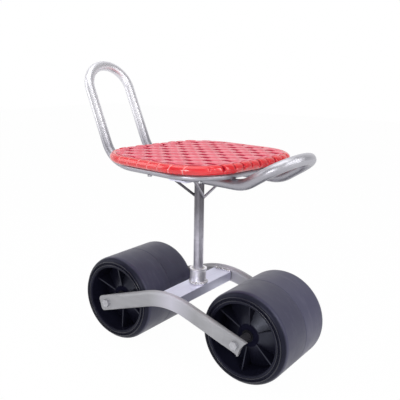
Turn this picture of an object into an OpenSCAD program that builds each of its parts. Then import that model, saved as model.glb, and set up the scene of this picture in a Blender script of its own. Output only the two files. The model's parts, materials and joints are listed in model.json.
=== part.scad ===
// Rolling garden seat: a woven seat with a tube backrest and handle, turning on a post above
// two wide drum wheels. Millimetres, +Z up, +X towards the handle. The origin is on the floor,
// under the middle of the seat's overall length.

/* [Wheels] */
// Diameter of each drum wheel
wheel_d = 200; // [170:1:230]
// Width of each drum wheel over its two faces
wheel_w = 180; // [150:1:188]
// Distance between the two axles
wheel_base = 350; // [320:1:400]
// Diameter of the open mouth in each wheel face
mouth_d = 153; // [130:1:158]
// Rounding between the tread and the face of the drum
shoulder_r = 14; // [8:0.5:16]
// Wall thickness of the moulded wheel shells
shell_wall = 4; // [3:0.5:5]
// Depth from the wheel's face back to the end of its hub
hub_recess = 24; // [16:1:30]
// Depth from the wheel's face back to the outer edge of the dished web
dish_depth = 52; // [44:1:60]
// Diameter of the end of the hub
hub_d = 40; // [32:1:46]
// Diameter of the bore through the hub, which holds the bushes
hub_bore_d = 18; // [16:0.5:22]
// Thickness of each radial rib
rib_t = 2.6; // [2:0.1:4]
// How far below the wheel's face the outer ends of the ribs stop
rib_drop = 15; // [8:0.5:24]
// How far below the hub's end the inner ends of the ribs stop
rib_step = 1.3; // [0.8:0.1:3]
// Number of radial ribs on each side of a wheel
rib_count = 6; // [4:1:8]
// Angle of the first rib of the front wheel
front_rib_angle = 25; // [0:1:60]
// Angle of the first rib of the rear wheel
rear_rib_angle = 35; // [0:1:60]
// Radius of the rounded bead round the mouth
bead_r = 2; // [1:0.25:3]
// Radius of the groove between the face and the shoulder
groove_r = 1.3; // [0.8:0.1:1.6]
// Chamfer that leaves the parting line where the two shells meet
seam_cut = 0.8; // [0.4:0.1:1.5]
// Length of the vent slot in each web
slot_l = 11; // [6:1:14]
// Width of the vent slot in each web
slot_w = 4; // [2:0.5:6]
// Distance of the vent slot from the axle
slot_r = 64; // [54:1:66]

/* [Axles] */
// Diameter of the axle bolts and of the swivel bolt
bolt_d = 10; // [8:1:12]
// Width across flats of the bolt heads and nuts
hex_af = 16; // [14:1:19]
// Height of a bolt head
head_h = 6.4; // [5:0.1:8]
// Height of a nut
nut_h = 8; // [6:0.5:10]
// How far a bolt stands out past its nut
bolt_tail = 3; // [1:0.5:6]
// Diameter of the flat washers
washer_d = 20; // [17:0.5:24]
// Thickness of the flat washers
washer_t = 2; // [1:0.5:3]
// Diameter of the spacer sleeves between the hubs and the arms
sleeve_d = 16; // [14:0.5:20]
// Length of a wheel bush inside the hub
bush_l = 20; // [12:1:40]
// Diameter of a wheel bush's flange
bush_flange_d = 26; // [22:1:30]
// Thickness of the bush flanges
bush_flange_t = 2; // [1:0.5:3]

/* [Arms] */
// Height of the flat oval arm tube
arm_h = 36; // [30:1:44]
// Thickness of the flat oval arm tube
arm_t = 19; // [15:0.5:22]
// Wall thickness of the arm tube
arm_wall = 2.5; // [1.5:0.25:4]
// Slope of the arms down to the axles, in degrees
arm_slope = 18.3; // [14:0.1:22]
// Radius of the bend over the middle of each arm
arm_bend_r = 175; // [140:5:220]
// Distance between the middle planes of the two arms
arm_spread = 227; // [222:1:236]
// How far an arm runs on past the axle
arm_overhang = 22; // [18:1:30]
// Thickness of the flattened ends of the arms
flat_t = 8; // [6:0.5:12]
// Length of the flattened ends of the arms
flat_l = 48; // [40:1:60]
// Length over which the tube goes from round to flattened
flat_taper = 30; // [15:1:40]
// Corner radius of the square-cut arm end
end_corner_r = 9; // [4:1:14]
// Radius of the hollow saw cut at the other end of the arm
notch_r = 50; // [30:1:80]
// How much shorter the arm is at the bottom of the saw cut than at its top
notch_skew = 8; // [4:1:18]
// Length of the torn edge left below the saw cut
burr_l = 9; // [6:0.5:12]
// Height of the torn edge left below the saw cut
burr_h = 4; // [2:0.5:6]

/* [Cross bar and collar] */
// Width of the cross bar
bar_w = 50; // [44:1:60]
// Height of the cross bar
bar_h = 21; // [18:1:24]
// Wall thickness of the cross bar
bar_wall = 2; // [1.5:0.25:3]
// Height of the top of the cross bar above the floor
bar_top = 158; // [154:1:162]
// Length of the saw slot at the far end of the cross bar
bar_slot_l = 4; // [2:0.5:8]
// Depth of the saw slot at the far end of the cross bar
bar_slot_d = 3; // [1:0.5:5]
// Size of the weld beads on the cross bar and the collar
weld_size = 4; // [2:0.5:6]
// Outside diameter of the swivel collar
collar_d = 37; // [34:0.5:42]
// Height of the swivel collar above the cross bar
collar_h = 33.7; // [28:0.1:44]
// Diameter of the collar's bore, which holds the swivel bushes
collar_bore_d = 29; // [27:0.5:32]
// How far the collar's lip flares out
lip_flare = 1.2; // [0.5:0.1:2]
// Height of the collar's flared lip
lip_h = 3; // [2:0.5:5]
// Length of each swivel bush
swivel_bush_l = 13; // [8:0.5:14]

/* [Post] */
// Outside diameter of the seat post
post_d = 22; // [20:0.5:25]
// Wall thickness of the seat post
post_wall = 2.5; // [1.5:0.25:3.5]
// Length of the plug in the foot of the post
plug_l = 30; // [20:1:50]
// Thickness of the plate between the post and the seat tube
plate_t = 4; // [3:0.5:6]
// Width of that plate along the seat
plate_w = 50; // [36:1:70]
// How far that plate runs past the middle of each seat rail
plate_run = 9; // [4:1:16]
// Diameter of the two V shaped brace rods
brace_d = 6; // [4:0.5:9]
// Height at which the braces meet the post
brace_foot_z = 358; // [330:1:375]
// Distance along the seat from the post to the top of each brace
brace_top_x = 38; // [30:1:60]

/* [Seat tube] */
// Angle the seat stands turned on its swivel, in degrees
seat_turn = -7; // [-20:1:20]
// Outside diameter of the seat tube
tube_d = 23; // [20:0.5:26]
// Wall thickness of the seat tube
tube_wall = 2; // [1.5:0.25:3]
// Distance between the two rails of the seat tube
rail_gap = 121.4; // [100:0.2:140]
// Height of the middle of the rails above the floor
rail_z = 415.7; // [400:0.1:440]
// How far behind the panel's rim the bend into the backrest starts
back_bend_run = 39.2; // [30:0.1:50]
// Radius of the bend into the backrest
back_bend_r = 74; // [60:1:90]
// Angle of the backrest from upright, in degrees
back_lean = 25.4; // [15:0.1:35]
// Length of the straight part of the backrest
back_straight = 135.5; // [110:0.5:170]
// How far inside the panel's front rim the bend into the handle starts
handle_bend_run = 4.4; // [0:0.1:8]
// Radius of the bend into the handle
handle_bend_r = 76; // [60:1:90]
// Angle of the handle above level, in degrees
handle_rise = 31.1; // [20:0.1:40]
// Length of the straight part of the handle
handle_straight = 28.2; // [15:0.1:50]
// Diameter of the vent holes inside the rails
vent_d = 6; // [3:0.5:8]
// Distance of the vent holes in front of the post
vent_x = 80; // [50:1:100]

/* [Woven panel] */
// Length of the panel's rim along the seat, between the middles of its roll
panel_l = 294; // [280:1:320]
// Width of the panel's rim, between the middles of its roll
panel_w = 331; // [320:1:350]
// How far the middle of the panel lies in front of the post
panel_ahead = 9; // [0:0.5:12]
// Length of the straight stretch of the rim in front and behind
rim_straight = 143; // [130:1:160]
// Radius of the panel's rounded rim
rim_r = 9.1; // [8:0.1:11]
// Height of the middle of the rim above the ring tube under it
rim_lift = 15.4; // [14:0.1:18]
// Where the rim's inner ledge starts, inward from the middle of the roll
ledge_start = 3; // [1:0.5:5]
// Width of the rim's inner ledge
ledge_w = 11; // [9:0.5:14]
// Diameter of the ring tube under the panel
ring_d = 12.5; // [10:0.5:14]
// Wall thickness of the ring tube
ring_wall = 1.6; // [1:0.1:2.5]
// How far the ring tube lies inward from the middle of the rim
ring_inset = 9; // [8:0.5:11]
// Length of the tabs between the ring tube and the rails
tab_l = 16; // [10:1:24]
// Width of the tabs between the ring tube and the rails
tab_w = 12; // [8:1:18]
// Distance from the middle of the rim's roll to the first strap along each side
side_edge = 12; // [11:0.5:16]
// Distance from the middle of the rim's roll to the first strap in front and behind
end_edge = 17; // [14:0.5:19]
// Room for each strap that runs along the seat, which is evened out over its width
long_room = 25.7; // [23:0.1:30]
// Room for each strap that runs across the seat, which is evened out over its length
cross_room = 28.8; // [26:0.1:33]
// Gap between two straps side by side
strap_gap = 3.6; // [2:0.1:6]
// Thickness of a strap
strap_t = 2.5; // [1.5:0.1:3.5]
// Height of the middle of the weave above the middle of the rim
weave_lift = 5.4; // [4.8:0.1:6]
// Diameter of the panel screws
screw_d = 5; // [4:0.5:6]
// Diameter of a panel screw's head
screw_head_d = 9; // [7:0.5:12]
// Height of a panel screw's head
screw_head_h = 3; // [2:0.5:5]

/* [Fits] */
// Running fit between a turning piece and its pin, on the radius
run_fit = 0.05; // [0.03:0.01:0.09]
// Loose gap round a bolt, or at the end of a turning piece
loose_fit = 0.3; // [0.2:0.05:0.5]
// Gap left between curved pieces that lie against each other
lie_gap = 0.1; // [0.05:0.05:0.2]

/* [Hidden] */

$fn = 32;
// Overrun of every cutting tool past the face it cuts
over = 1;
// Steps in each bend of the seat tube, in each of its round ends, and round the tube
bend_steps = 6;
end_steps = 14;
tube_sides = 24;
bolt_hole_d = bolt_d + 2 * loose_fit;
fit_hole_d = bolt_d + 2 * run_fit;

// Wheels
wheel_r = wheel_d / 2;
half_base = wheel_base / 2;
half_w = wheel_w / 2;
mouth_r = mouth_d / 2;
hub_face = half_w - hub_recess;
dish_z = half_w - dish_depth;
web_slope = (hub_face - dish_z) / (mouth_r - hub_d / 2);
web_drop = shell_wall * sqrt(1 + web_slope * web_slope);
recess_r = mouth_r + shell_wall;
shoulder_x = wheel_r - shoulder_r;
shoulder_z = half_w - shoulder_r;

// Arms
arm_y = arm_spread / 2;
arm_inner = arm_y - arm_t / 2;
flat_inner = arm_y - flat_t / 2;
flat_outer = arm_y + flat_t / 2;
corner_z = wheel_r + half_base * tan(arm_slope);
bend_z = corner_z - arm_bend_r / cos(arm_slope);
bend_end_x = arm_bend_r * sin(arm_slope);
arm_reach = (half_base - bend_end_x) / cos(arm_slope) + arm_overhang;
flat_x = half_base + arm_overhang - flat_l;
taper_x = flat_x - flat_taper;
notch_chord = norm([notch_skew, arm_h]);

// Collar and post
bar_bottom = bar_top - bar_h;
collar_top = bar_top + collar_h;
post_foot = bar_top + washer_t;
plate_z = rail_z - tube_d / 2 - plate_t - lie_gap;
rail_y = rail_gap / 2;

// Panel
half_l = panel_l / 2;
half_pw = panel_w / 2;
corner_r = half_pw - rim_straight / 2;
ring_z = rail_z + tube_d / 2 + ring_d / 2 + lie_gap;
rim_z = ring_z + rim_lift;
weave_z = rim_z + weave_lift;
strap_lift = (strap_t + loose_fit) / 2;
ledge_top = weave_z - strap_lift - strap_t / 2 - lie_gap;
ledge_bottom = ring_z + ring_d / 2 + lie_gap;
field_inset = rim_r + lie_gap;
long_count = round((panel_w - 2 * side_edge) / long_room);
cross_count = round((panel_l - 2 * end_edge) / cross_room);
long_pitch = (panel_w - 2 * side_edge) / long_count;
cross_pitch = (panel_l - 2 * end_edge) / cross_count;
// How deep into the ledge the screws' holes and the screws reach, as shares of its height
pilot_share = 0.75;
screw_share = 0.7;

// Distances from the post to the bends of the seat tube
back_bend_x = half_l - panel_ahead + back_bend_run;
handle_bend_x = half_l + panel_ahead - handle_bend_run;

// The frame's origin lies under the middle of the overall length
function tip_reach(bend_x, bend_r, turn, straight) =
    (bend_x + bend_r * sin(turn) + straight * cos(turn)) * cos(seat_turn)
    + norm([rail_y * cos(turn) * cos(seat_turn), rail_y * sin(seat_turn)]) + tube_d / 2;
back_reach = tip_reach(back_bend_x, back_bend_r, 90 - back_lean, back_straight);
front_reach = tip_reach(handle_bend_x, handle_bend_r, handle_rise, handle_straight);
origin_x = (back_reach - front_reach) / 2;

// Moves a piece of the base from the swivel's axis to the frame
module on_base() {
    translate([origin_x, 0, 0]) children();
}

// Moves a piece of the seat to the frame, turned on the swivel
module on_seat() {
    translate([origin_x, 0, 0]) rotate([0, 0, seat_turn]) children();
}

// A ring or tube about Z
module ring(outer_d, inner_d, h) {
    difference() {
        cylinder(d = outer_d, h = h);
        translate([0, 0, -over]) cylinder(d = inner_d, h = h + 2 * over);
    }
}

// A hexagon of a given width across its flats
module hexagon(af, h) {
    cylinder(d = af / cos(180 / 6), h = h, $fn = 6);
}

// Places pieces on both axles, drawn along +Z, which points away from the near arm
module on_axles() {
    for (side = [-1, 1]) {
        translate([side * half_base, 0, wheel_r]) rotate([-90, 0, 0]) children();
    }
}

// The oval of the arm tube, drawn with its height along Y
module arm_oval(inset) {
    flat = arm_h - arm_t;
    round_r = arm_t / 2 - inset;
    square([2 * round_r, flat], center = true);
    for (side = [-1, 1]) {
        translate([0, side * flat / 2]) circle(r = round_r);
    }
}

// The arm tube as one solid sweep: X along the seat, Y up, Z through its thickness
module arm_sweep(inset, reach) {
    translate([0, bend_z, 0]) {
        rotate([0, 0, 90 - arm_slope]) rotate_extrude(angle = 2 * arm_slope)
            translate([arm_bend_r, 0]) rotate([0, 0, 90]) arm_oval(inset);
        for (side = [0, 1]) {
            mirror([side, 0, 0]) rotate([0, 0, -arm_slope]) translate([0, arm_bend_r, 0])
                rotate([0, 90, 0]) linear_extrude(reach) arm_oval(inset);
        }
    }
}

// Places a flat shape at an arm's end: X runs outward along the arm, the origin is the axle
module at_arm_end(side) {
    mirror([side < 0 ? 1 : 0, 0]) translate([half_base, wheel_r]) rotate(-arm_slope) children();
}

// The arm seen from the side: one end square with round corners, the other sawn hollow
module arm_outline() {
    middle = half_base - arm_overhang;
    translate([-middle, 0]) square([2 * middle, corner_z + arm_h]);
    at_arm_end(-1) {
        translate([-2 * arm_overhang, -arm_h / 2])
            square([3 * arm_overhang - end_corner_r, arm_h]);
        translate([0, end_corner_r - arm_h / 2])
            square([arm_overhang, arm_h - 2 * end_corner_r]);
        for (side = [-1, 1]) {
            translate([arm_overhang - end_corner_r, side * (arm_h / 2 - end_corner_r)])
                circle(r = end_corner_r);
        }
    }
    at_arm_end(1) difference() {
        translate([-2 * arm_overhang, -arm_h / 2]) square([3 * arm_overhang, arm_h]);
        translate([arm_overhang - notch_skew / 2, 0]) rotate(-atan2(notch_skew, arm_h))
            translate([sqrt(notch_r * notch_r - notch_chord * notch_chord / 4), 0])
            circle(r = notch_r);
    }
}

// The arm seen from above: full thickness in the middle, flattened at both ends
module arm_plan() {
    thick = arm_t / 2 + over;
    thin = flat_t / 2;
    far = half_base + 2 * arm_overhang;
    polygon([
        [-far, -thin], [-flat_x, -thin], [-taper_x, -thick], [taper_x, -thick],
        [flat_x, -thin], [far, -thin], [far, thin], [flat_x, thin],
        [taper_x, thick], [-taper_x, thick], [-flat_x, thin], [-far, thin]
    ]);
}

// One arm: a bent oval tube, flattened and drilled at both ends
module arm() {
    difference() {
        intersection() {
            arm_sweep(0, arm_reach + arm_overhang);
            linear_extrude(arm_t, center = true) arm_outline();
            translate([0, corner_z, 0]) rotate([90, 0, 0])
                linear_extrude(2 * corner_z, center = true) arm_plan();
        }
        arm_sweep(arm_wall, (taper_x - bend_end_x) / cos(arm_slope));
        for (side = [-1, 1]) {
            translate([side * half_base, wheel_r, 0])
                cylinder(d = bolt_hole_d, h = arm_t, center = true);
        }
        translate([0, bar_top - bar_h / 2, -arm_t]) cylinder(d = vent_d, h = arm_t);
    }
    linear_extrude(flat_t / 2, center = true) at_arm_end(1)
        translate([arm_overhang - notch_skew - burr_l, -arm_h / 2]) polygon([
            [0, burr_h], [0, 0], [burr_l / 3, -burr_h / 2], [burr_l / 2, -burr_h / 4],
            [2 * burr_l / 3, -burr_h], [burr_l, -burr_h / 2], [burr_l - burr_h / 4, burr_h]
        ]);
}

module near_arm() {
    color("silver") on_base() translate([0, -arm_y, 0]) rotate([90, 0, 0]) arm();
}

module far_arm() {
    color("silver") on_base() rotate([0, 0, 180]) translate([0, -arm_y, 0])
        rotate([90, 0, 0]) arm();
}

// The cross bar: a flat box tube between the arms, with a saw slot at its far end
module cross_bar() {
    length = 2 * arm_inner;
    color("silver") on_base() difference() {
        translate([-bar_w / 2, -length / 2, bar_bottom]) cube([bar_w, length, bar_h]);
        translate([bar_wall - bar_w / 2, -length / 2 - over, bar_bottom + bar_wall])
            cube([bar_w - 2 * bar_wall, length + 2 * over, bar_h - 2 * bar_wall]);
        translate([bar_w / 2 - bar_slot_d, length / 2 - bar_slot_l, bar_bottom - over])
            cube([bar_slot_d + over, bar_slot_l + over, bar_h + 2 * over]);
        translate([0, 0, bar_bottom - over]) cylinder(d = bolt_hole_d, h = bar_h + 2 * over);
    }
}

// Weld beads where the bar meets the arms: along its top, and up its sides but for the slot
module arm_welds() {
    side_z = bend_z + arm_bend_r - (arm_h - arm_t) / 2;
    color("dimgray") on_base() for (far = [0, 1]) mirror([0, far, 0]) {
        translate([0, arm_inner, bar_top]) rotate([90, 0, 90])
            linear_extrude(bar_w - 2 * bar_slot_d, center = true)
            polygon([[-weld_size, 0], [0, 0], [0, weld_size]]);
        for (rear = [0, 1]) {
            if (far == 0 || rear == 1) {
                mirror([rear, 0, 0]) translate([bar_w / 2, arm_inner, side_z])
                    linear_extrude(bar_top - side_z)
                    polygon([[0, 0], [weld_size, 0], [0, -weld_size]]);
            }
        }
    }
}

// The swivel collar with its flared lip
module pivot_collar() {
    color("silver") on_base() translate([0, 0, bar_top]) rotate_extrude() polygon([
        [collar_bore_d / 2, 0], [collar_d / 2, 0], [collar_d / 2, collar_h - 2 * lip_h],
        [collar_d / 2 + lip_flare, collar_h - lip_h], [collar_d / 2 + lip_flare, collar_h],
        [collar_bore_d / 2, collar_h]
    ]);
}

// The weld bead round the collar's foot
module collar_weld() {
    color("dimgray") on_base() translate([0, 0, bar_top]) rotate_extrude()
        translate([collar_d / 2, 0]) polygon([[0, 0], [weld_size, 0], [0, weld_size]]);
}

module upper_bush() {
    color("whitesmoke") on_base() translate([0, 0, collar_top - swivel_bush_l])
        ring(collar_bore_d, post_d + 2 * run_fit, swivel_bush_l);
}

module lower_bush() {
    color("whitesmoke") on_base() translate([0, 0, post_foot])
        ring(collar_bore_d, post_d + 2 * run_fit, swivel_bush_l);
}

// The washer that the post's foot turns on
module thrust_washer() {
    color("whitesmoke") on_base() translate([0, 0, bar_top])
        ring(collar_bore_d - 2 * lie_gap, bolt_hole_d, washer_t);
}

// The washer between the bar and the head of the swivel bolt
module swivel_washer() {
    color("whitesmoke") on_base() translate([0, 0, bar_bottom - washer_t])
        ring(collar_bore_d, bolt_hole_d, washer_t);
}

// The two axle bolts, each through an arm, a wheel and the other arm
module axle_bolts() {
    color("gainsboro") on_base() on_axles() {
        translate([0, 0, -flat_outer - head_h]) hexagon(hex_af, head_h);
        translate([0, 0, -flat_outer - head_h])
            cylinder(d = bolt_d, h = 2 * flat_outer + head_h + washer_t + nut_h + bolt_tail);
    }
}

module axle_washers() {
    color("gainsboro") on_base() on_axles() translate([0, 0, flat_outer])
        ring(washer_d, fit_hole_d, washer_t);
}

module axle_nuts() {
    color("gainsboro") on_base() on_axles() translate([0, 0, flat_outer + washer_t])
        difference() {
            hexagon(hex_af, nut_h);
            translate([0, 0, -over]) cylinder(d = fit_hole_d, h = nut_h + 2 * over);
        }
}

// The sleeves that hold each wheel in the middle between the arms
module spacer_sleeves() {
    hub_end = hub_face + bush_flange_t + loose_fit;
    color("gray") on_base() on_axles() for (side = [0, 1]) {
        mirror([0, 0, side]) translate([0, 0, hub_end])
            ring(sleeve_d, fit_hole_d, flat_inner - hub_end);
    }
}

// The outside of half a wheel: X is the radius, Y the distance from the seam
module wheel_outside() {
    square([wheel_r, shoulder_z]);
    square([shoulder_x, half_w]);
    translate([shoulder_x, shoulder_z]) circle(r = shoulder_r);
    translate([mouth_r + bead_r + over, half_w]) circle(r = bead_r);
}

// The open mouth of a wheel, with the dished web at its bottom
module wheel_mouth() {
    polygon([
        [0, hub_face], [hub_d / 2, hub_face], [mouth_r, dish_z],
        [mouth_r, half_w + bead_r + over], [0, half_w + bead_r + over]
    ]);
}

// The closed hollow inside half a wheel
module wheel_hollow() {
    deep_z = dish_z - web_drop - web_slope * shell_wall;
    polygon([
        [hub_bore_d / 2 + shell_wall, -over],
        [hub_bore_d / 2 + shell_wall, hub_face - web_drop],
        [hub_d / 2, hub_face - web_drop],
        [recess_r, deep_z], [recess_r, half_w - shell_wall],
        [shoulder_x, half_w - shell_wall], [shoulder_x, shoulder_z],
        [wheel_r - shell_wall, shoulder_z], [wheel_r - shell_wall, -over]
    ]);
    intersection() {
        translate([shoulder_x, shoulder_z]) circle(r = shoulder_r - shell_wall);
        translate([recess_r, 0]) square([wheel_r, half_w]);
    }
}

// One moulded shell without its ribs
module wheel_shell() {
    difference() {
        rotate_extrude() wheel_outside();
        rotate_extrude() wheel_mouth();
        rotate_extrude() wheel_hollow();
        translate([0, 0, -over]) cylinder(d = hub_bore_d, h = half_w);
        rotate_extrude() translate([shoulder_x, half_w]) circle(r = groove_r);
        rotate_extrude() polygon([
            [wheel_r - seam_cut, -over], [wheel_r - seam_cut, 0],
            [wheel_r, seam_cut], [wheel_r + over, seam_cut], [wheel_r + over, -over]
        ]);
    }
}

// One moulded half of a wheel, seam down at Z = 0, with its ribs standing on the dished web
module wheel_half(first_rib) {
    difference() {
        wheel_shell();
        rotate([0, 0, first_rib + 180 / rib_count]) translate([slot_r, 0, 0])
            linear_extrude(half_w) square([slot_w, slot_l], center = true);
    }
    for (i = [0:rib_count - 1]) {
        rotate([0, 0, first_rib + i * 360 / rib_count]) rotate([90, 0, 0])
            linear_extrude(rib_t, center = true) polygon([
                [hub_d / 2 - over, hub_face - web_drop / 2],
                [hub_d / 2 - over, hub_face - rib_step],
                [mouth_r + over, half_w - rib_drop], [mouth_r + over, dish_z - web_drop / 2]
            ]);
    }
}

// Places wheel halves on an axle: the far half points along +Y, the near half along -Y
module on_wheel(side, near) {
    on_base() translate([side * half_base, 0, wheel_r]) mirror([0, near ? 1 : 0, 0])
        rotate([-90, 0, 0]) children();
}

// Flanged bushes pressed into both ends of a hub
module hub_bushes() {
    for (side = [0, 1]) {
        mirror([0, 0, side]) translate([0, 0, hub_face - bush_l]) {
            ring(hub_bore_d, fit_hole_d, bush_l);
            translate([0, 0, bush_l]) ring(bush_flange_d, fit_hole_d, bush_flange_t);
        }
    }
}

module front_wheel_near() {
    color("darkslategray") on_wheel(1, true) wheel_half(-front_rib_angle);
}

module front_wheel_far() {
    color("darkslategray") on_wheel(1, false) wheel_half(front_rib_angle);
}

module front_wheel_bushes() {
    color("black") on_wheel(1, false) hub_bushes();
}

module rear_wheel_near() {
    color("darkslategray") on_wheel(-1, true) wheel_half(-rear_rib_angle);
}

module rear_wheel_far() {
    color("darkslategray") on_wheel(-1, false) wheel_half(rear_rib_angle);
}

module rear_wheel_bushes() {
    color("black") on_wheel(-1, false) hub_bushes();
}

module seat_post() {
    color("silver") on_seat() translate([0, 0, post_foot])
        ring(post_d, post_d - 2 * post_wall, plate_z - post_foot);
}

// The threaded plug in the post's foot, which the swivel bolt screws into
module post_plug() {
    color("gray") on_seat() translate([0, 0, post_foot])
        ring(post_d - 2 * post_wall, fit_hole_d, plug_l);
}

module swivel_bolt() {
    head_top = bar_bottom - washer_t - loose_fit;
    color("gainsboro") on_seat() translate([0, 0, head_top - head_h]) {
        hexagon(hex_af, head_h);
        cylinder(d = bolt_d, h = post_foot + plug_l - head_top + head_h);
    }
}

// The weld bead between the post's top and the plate
module post_weld() {
    color("dimgray") on_seat() translate([0, 0, plate_z]) rotate_extrude()
        translate([post_d / 2, 0]) polygon([[0, 0], [weld_size, 0], [0, -weld_size]]);
}

// A straight rod with round ends between two points
module rod(start, end, d) {
    run = end - start;
    translate(start) {
        sphere(d = d);
        rotate([0, acos(run.z / norm(run)), atan2(run.y, run.x)]) cylinder(d = d, h = norm(run));
    }
}

// One V shaped brace: its foot lies on the post, its tops are cut to lie against the rails
module brace(side) {
    foot = [side * ((post_d + brace_d) / 2 + lie_gap), 0, brace_foot_z];
    difference() {
        for (hand = [-1, 1]) {
            rod(foot, [side * brace_top_x, hand * rail_y, rail_z - tube_d / 4], brace_d);
        }
        for (hand = [-1, 1]) {
            translate([0, hand * rail_y, rail_z]) rotate([0, 90, 0])
                cylinder(d = tube_d + 2 * lie_gap, h = panel_l, center = true);
        }
        translate([-plate_w / 2 - lie_gap, -rail_gap, plate_z - lie_gap])
            cube([plate_w + 2 * lie_gap, 2 * rail_gap, rail_z - plate_z]);
    }
}

module front_brace() {
    color("silver") on_seat() brace(1);
}

module rear_brace() {
    color("silver") on_seat() brace(-1);
}

module top_plate() {
    color("gray") on_seat() translate([-plate_w / 2, -rail_y - plate_run, plate_z])
        cube([plate_w, rail_gap + 2 * plate_run, plate_t]);
}

// Cross sections of one end of the seat tube, out along one rail and back to the other. Each is
// [middle, direction of travel, direction square to the loop]. way is 1 in front and -1 behind.
function tube_rings(way, bend_x, bend_r, turn, straight) =
    let (
        hand = -way,
        out = [way * cos(turn), 0, sin(turn)],
        up = [-way * sin(turn), 0, cos(turn)],
        end = [way * (bend_x + bend_r * sin(turn)), 0, rail_z + bend_r * (1 - cos(turn))]
            + straight * out,
        bend = [
            for (k = [0:bend_steps])
                let (a = turn * k / bend_steps)
                [
                    [way * (bend_x + bend_r * sin(a)), 0, rail_z + bend_r * (1 - cos(a))],
                    [way * cos(a), 0, sin(a)], [-way * sin(a), 0, cos(a)]
                ]
        ]
    )
    concat(
        [for (b = bend) [b[0] + [0, hand * rail_y, 0], b[1], b[2]]],
        [
            for (k = [0:end_steps])
                let (a = 180 * k / end_steps)
                [
                    end + rail_y * (sin(a) * out + cos(a) * [0, hand, 0]),
                    cos(a) * out - sin(a) * [0, hand, 0], up
                ]
        ],
        [
            for (k = [bend_steps:-1:0])
                [bend[k][0] - [0, hand * rail_y, 0], -bend[k][1], bend[k][2]]
        ]
    );

// The whole seat tube as one closed solid of a given radius
module tube_path(r, sides) {
    rings = concat(
        tube_rings(1, handle_bend_x, handle_bend_r, handle_rise, handle_straight),
        tube_rings(-1, back_bend_x, back_bend_r, 90 - back_lean, back_straight)
    );
    count = len(rings);
    points = [
        for (ring = rings, k = [0:sides - 1])
            let (a = 360 * k / sides, across = cross(ring[1], ring[2]))
            ring[0] + r * (cos(a) * ring[2] + sin(a) * across)
    ];
    function at(i, k) = (i % count) * sides + k % sides;
    polyhedron(points, [
        for (i = [0:count - 1], k = [0:sides - 1], half = [0, 1])
            half == 0
                ? [at(i, k), at(i + 1, k), at(i, k + 1)]
                : [at(i, k + 1), at(i + 1, k), at(i + 1, k + 1)]
    ]);
}

// The bent seat tube: both rails, the backrest and the handle in one piece
module seat_loop() {
    color("silver") on_seat() difference() {
        tube_path(tube_d / 2, tube_sides);
        tube_path(tube_d / 2 - tube_wall, tube_sides / 2);
        translate([vent_x, 0, rail_z]) rotate([90, 0, 0])
            cylinder(d = vent_d, h = rail_gap, center = true);
    }
}

// Sweeps a section round the panel's outline, moved inward: in the section X points outward
module outline_sweep(inset) {
    side_x = half_l - corner_r;
    side_y = half_pw - corner_r;
    for (turn = [0, 180]) rotate([0, 0, turn]) {
        translate([half_l - inset, 0, 0]) rotate([90, 0, 0])
            linear_extrude(2 * side_y, center = true) children();
        translate([0, half_pw - inset, 0]) rotate([90, 0, 90])
            linear_extrude(2 * side_x, center = true) children();
        translate([side_x, side_y, 0]) rotate_extrude(angle = 90)
            translate([corner_r - inset, 0]) children();
        translate([-side_x, side_y, 0]) rotate([0, 0, 90]) rotate_extrude(angle = 90)
            translate([corner_r - inset, 0]) children();
    }
}

// The filled outline of the panel, moved inward
module outline_area(inset) {
    side_x = half_l - corner_r;
    side_y = half_pw - corner_r;
    square([panel_l - 2 * inset, 2 * side_y], center = true);
    square([2 * side_x, panel_w - 2 * inset], center = true);
    for (x = [-side_x, side_x], y = [-side_y, side_y]) {
        translate([x, y]) circle(r = corner_r - inset);
    }
}

// Places a piece of the panel at a height
module on_panel(z) {
    on_seat() translate([panel_ahead, 0, z]) children();
}

// Points round the panel where its screws go, a given distance inside the rim
module screw_places(inset) {
    diagonal = (corner_r - inset) * sin(45);
    for (side = [-1, 1]) {
        translate([side * (half_l - inset), 0, 0]) children();
        translate([0, side * (half_pw - inset), 0]) children();
        for (hand = [-1, 1]) {
            translate([
                side * (half_l - corner_r + diagonal), hand * (half_pw - corner_r + diagonal), 0
            ]) children();
        }
    }
}

// The ring tube under the panel, drilled for the panel's screws
module seat_ring() {
    color("silver") on_panel(ring_z) difference() {
        outline_sweep(ring_inset) circle(d = ring_d);
        outline_sweep(ring_inset) circle(d = ring_d - 2 * ring_wall);
        screw_places(ring_inset)
            cylinder(d = screw_d + 2 * loose_fit, h = 2 * ring_d, center = true);
    }
}

// Tabs that tie the ring tube to the rails where they cross
module ring_tabs() {
    cross_x = half_l - ring_inset;
    tab_bottom = rail_z + tube_d / 4;
    color("silver") on_seat() difference() {
        for (side = [-1, 1], hand = [-1, 1]) {
            translate([
                side * (cross_x - tab_l / 2) - tab_l / 2 + panel_ahead,
                hand * rail_y - tab_w / 2, tab_bottom
            ]) cube([tab_l, tab_w, ring_z - tab_bottom]);
        }
        for (side = [-1, 1]) {
            translate([side * cross_x + panel_ahead, 0, ring_z]) rotate([90, 0, 0])
                cylinder(d = ring_d + 2 * lie_gap, h = 2 * rail_gap, center = true);
            translate([0, side * rail_y, rail_z]) rotate([0, 90, 0])
                cylinder(d = tube_d + 2 * lie_gap, h = panel_l, center = true);
        }
    }
}

// The rolled rim of the panel, with an inner ledge that carries the ends of the straps
module seat_rim() {
    color("firebrick") on_panel(rim_z) difference() {
        outline_sweep(0) {
            circle(r = rim_r);
            translate([-ledge_start - ledge_w, ledge_bottom - rim_z])
                square([ledge_w, ledge_top - ledge_bottom]);
        }
        screw_places(ring_inset) translate([0, 0, ledge_bottom - rim_z - over])
            cylinder(d = screw_d + 2 * run_fit, h = over + pilot_share * (ledge_top - ledge_bottom));
    }
}

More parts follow.
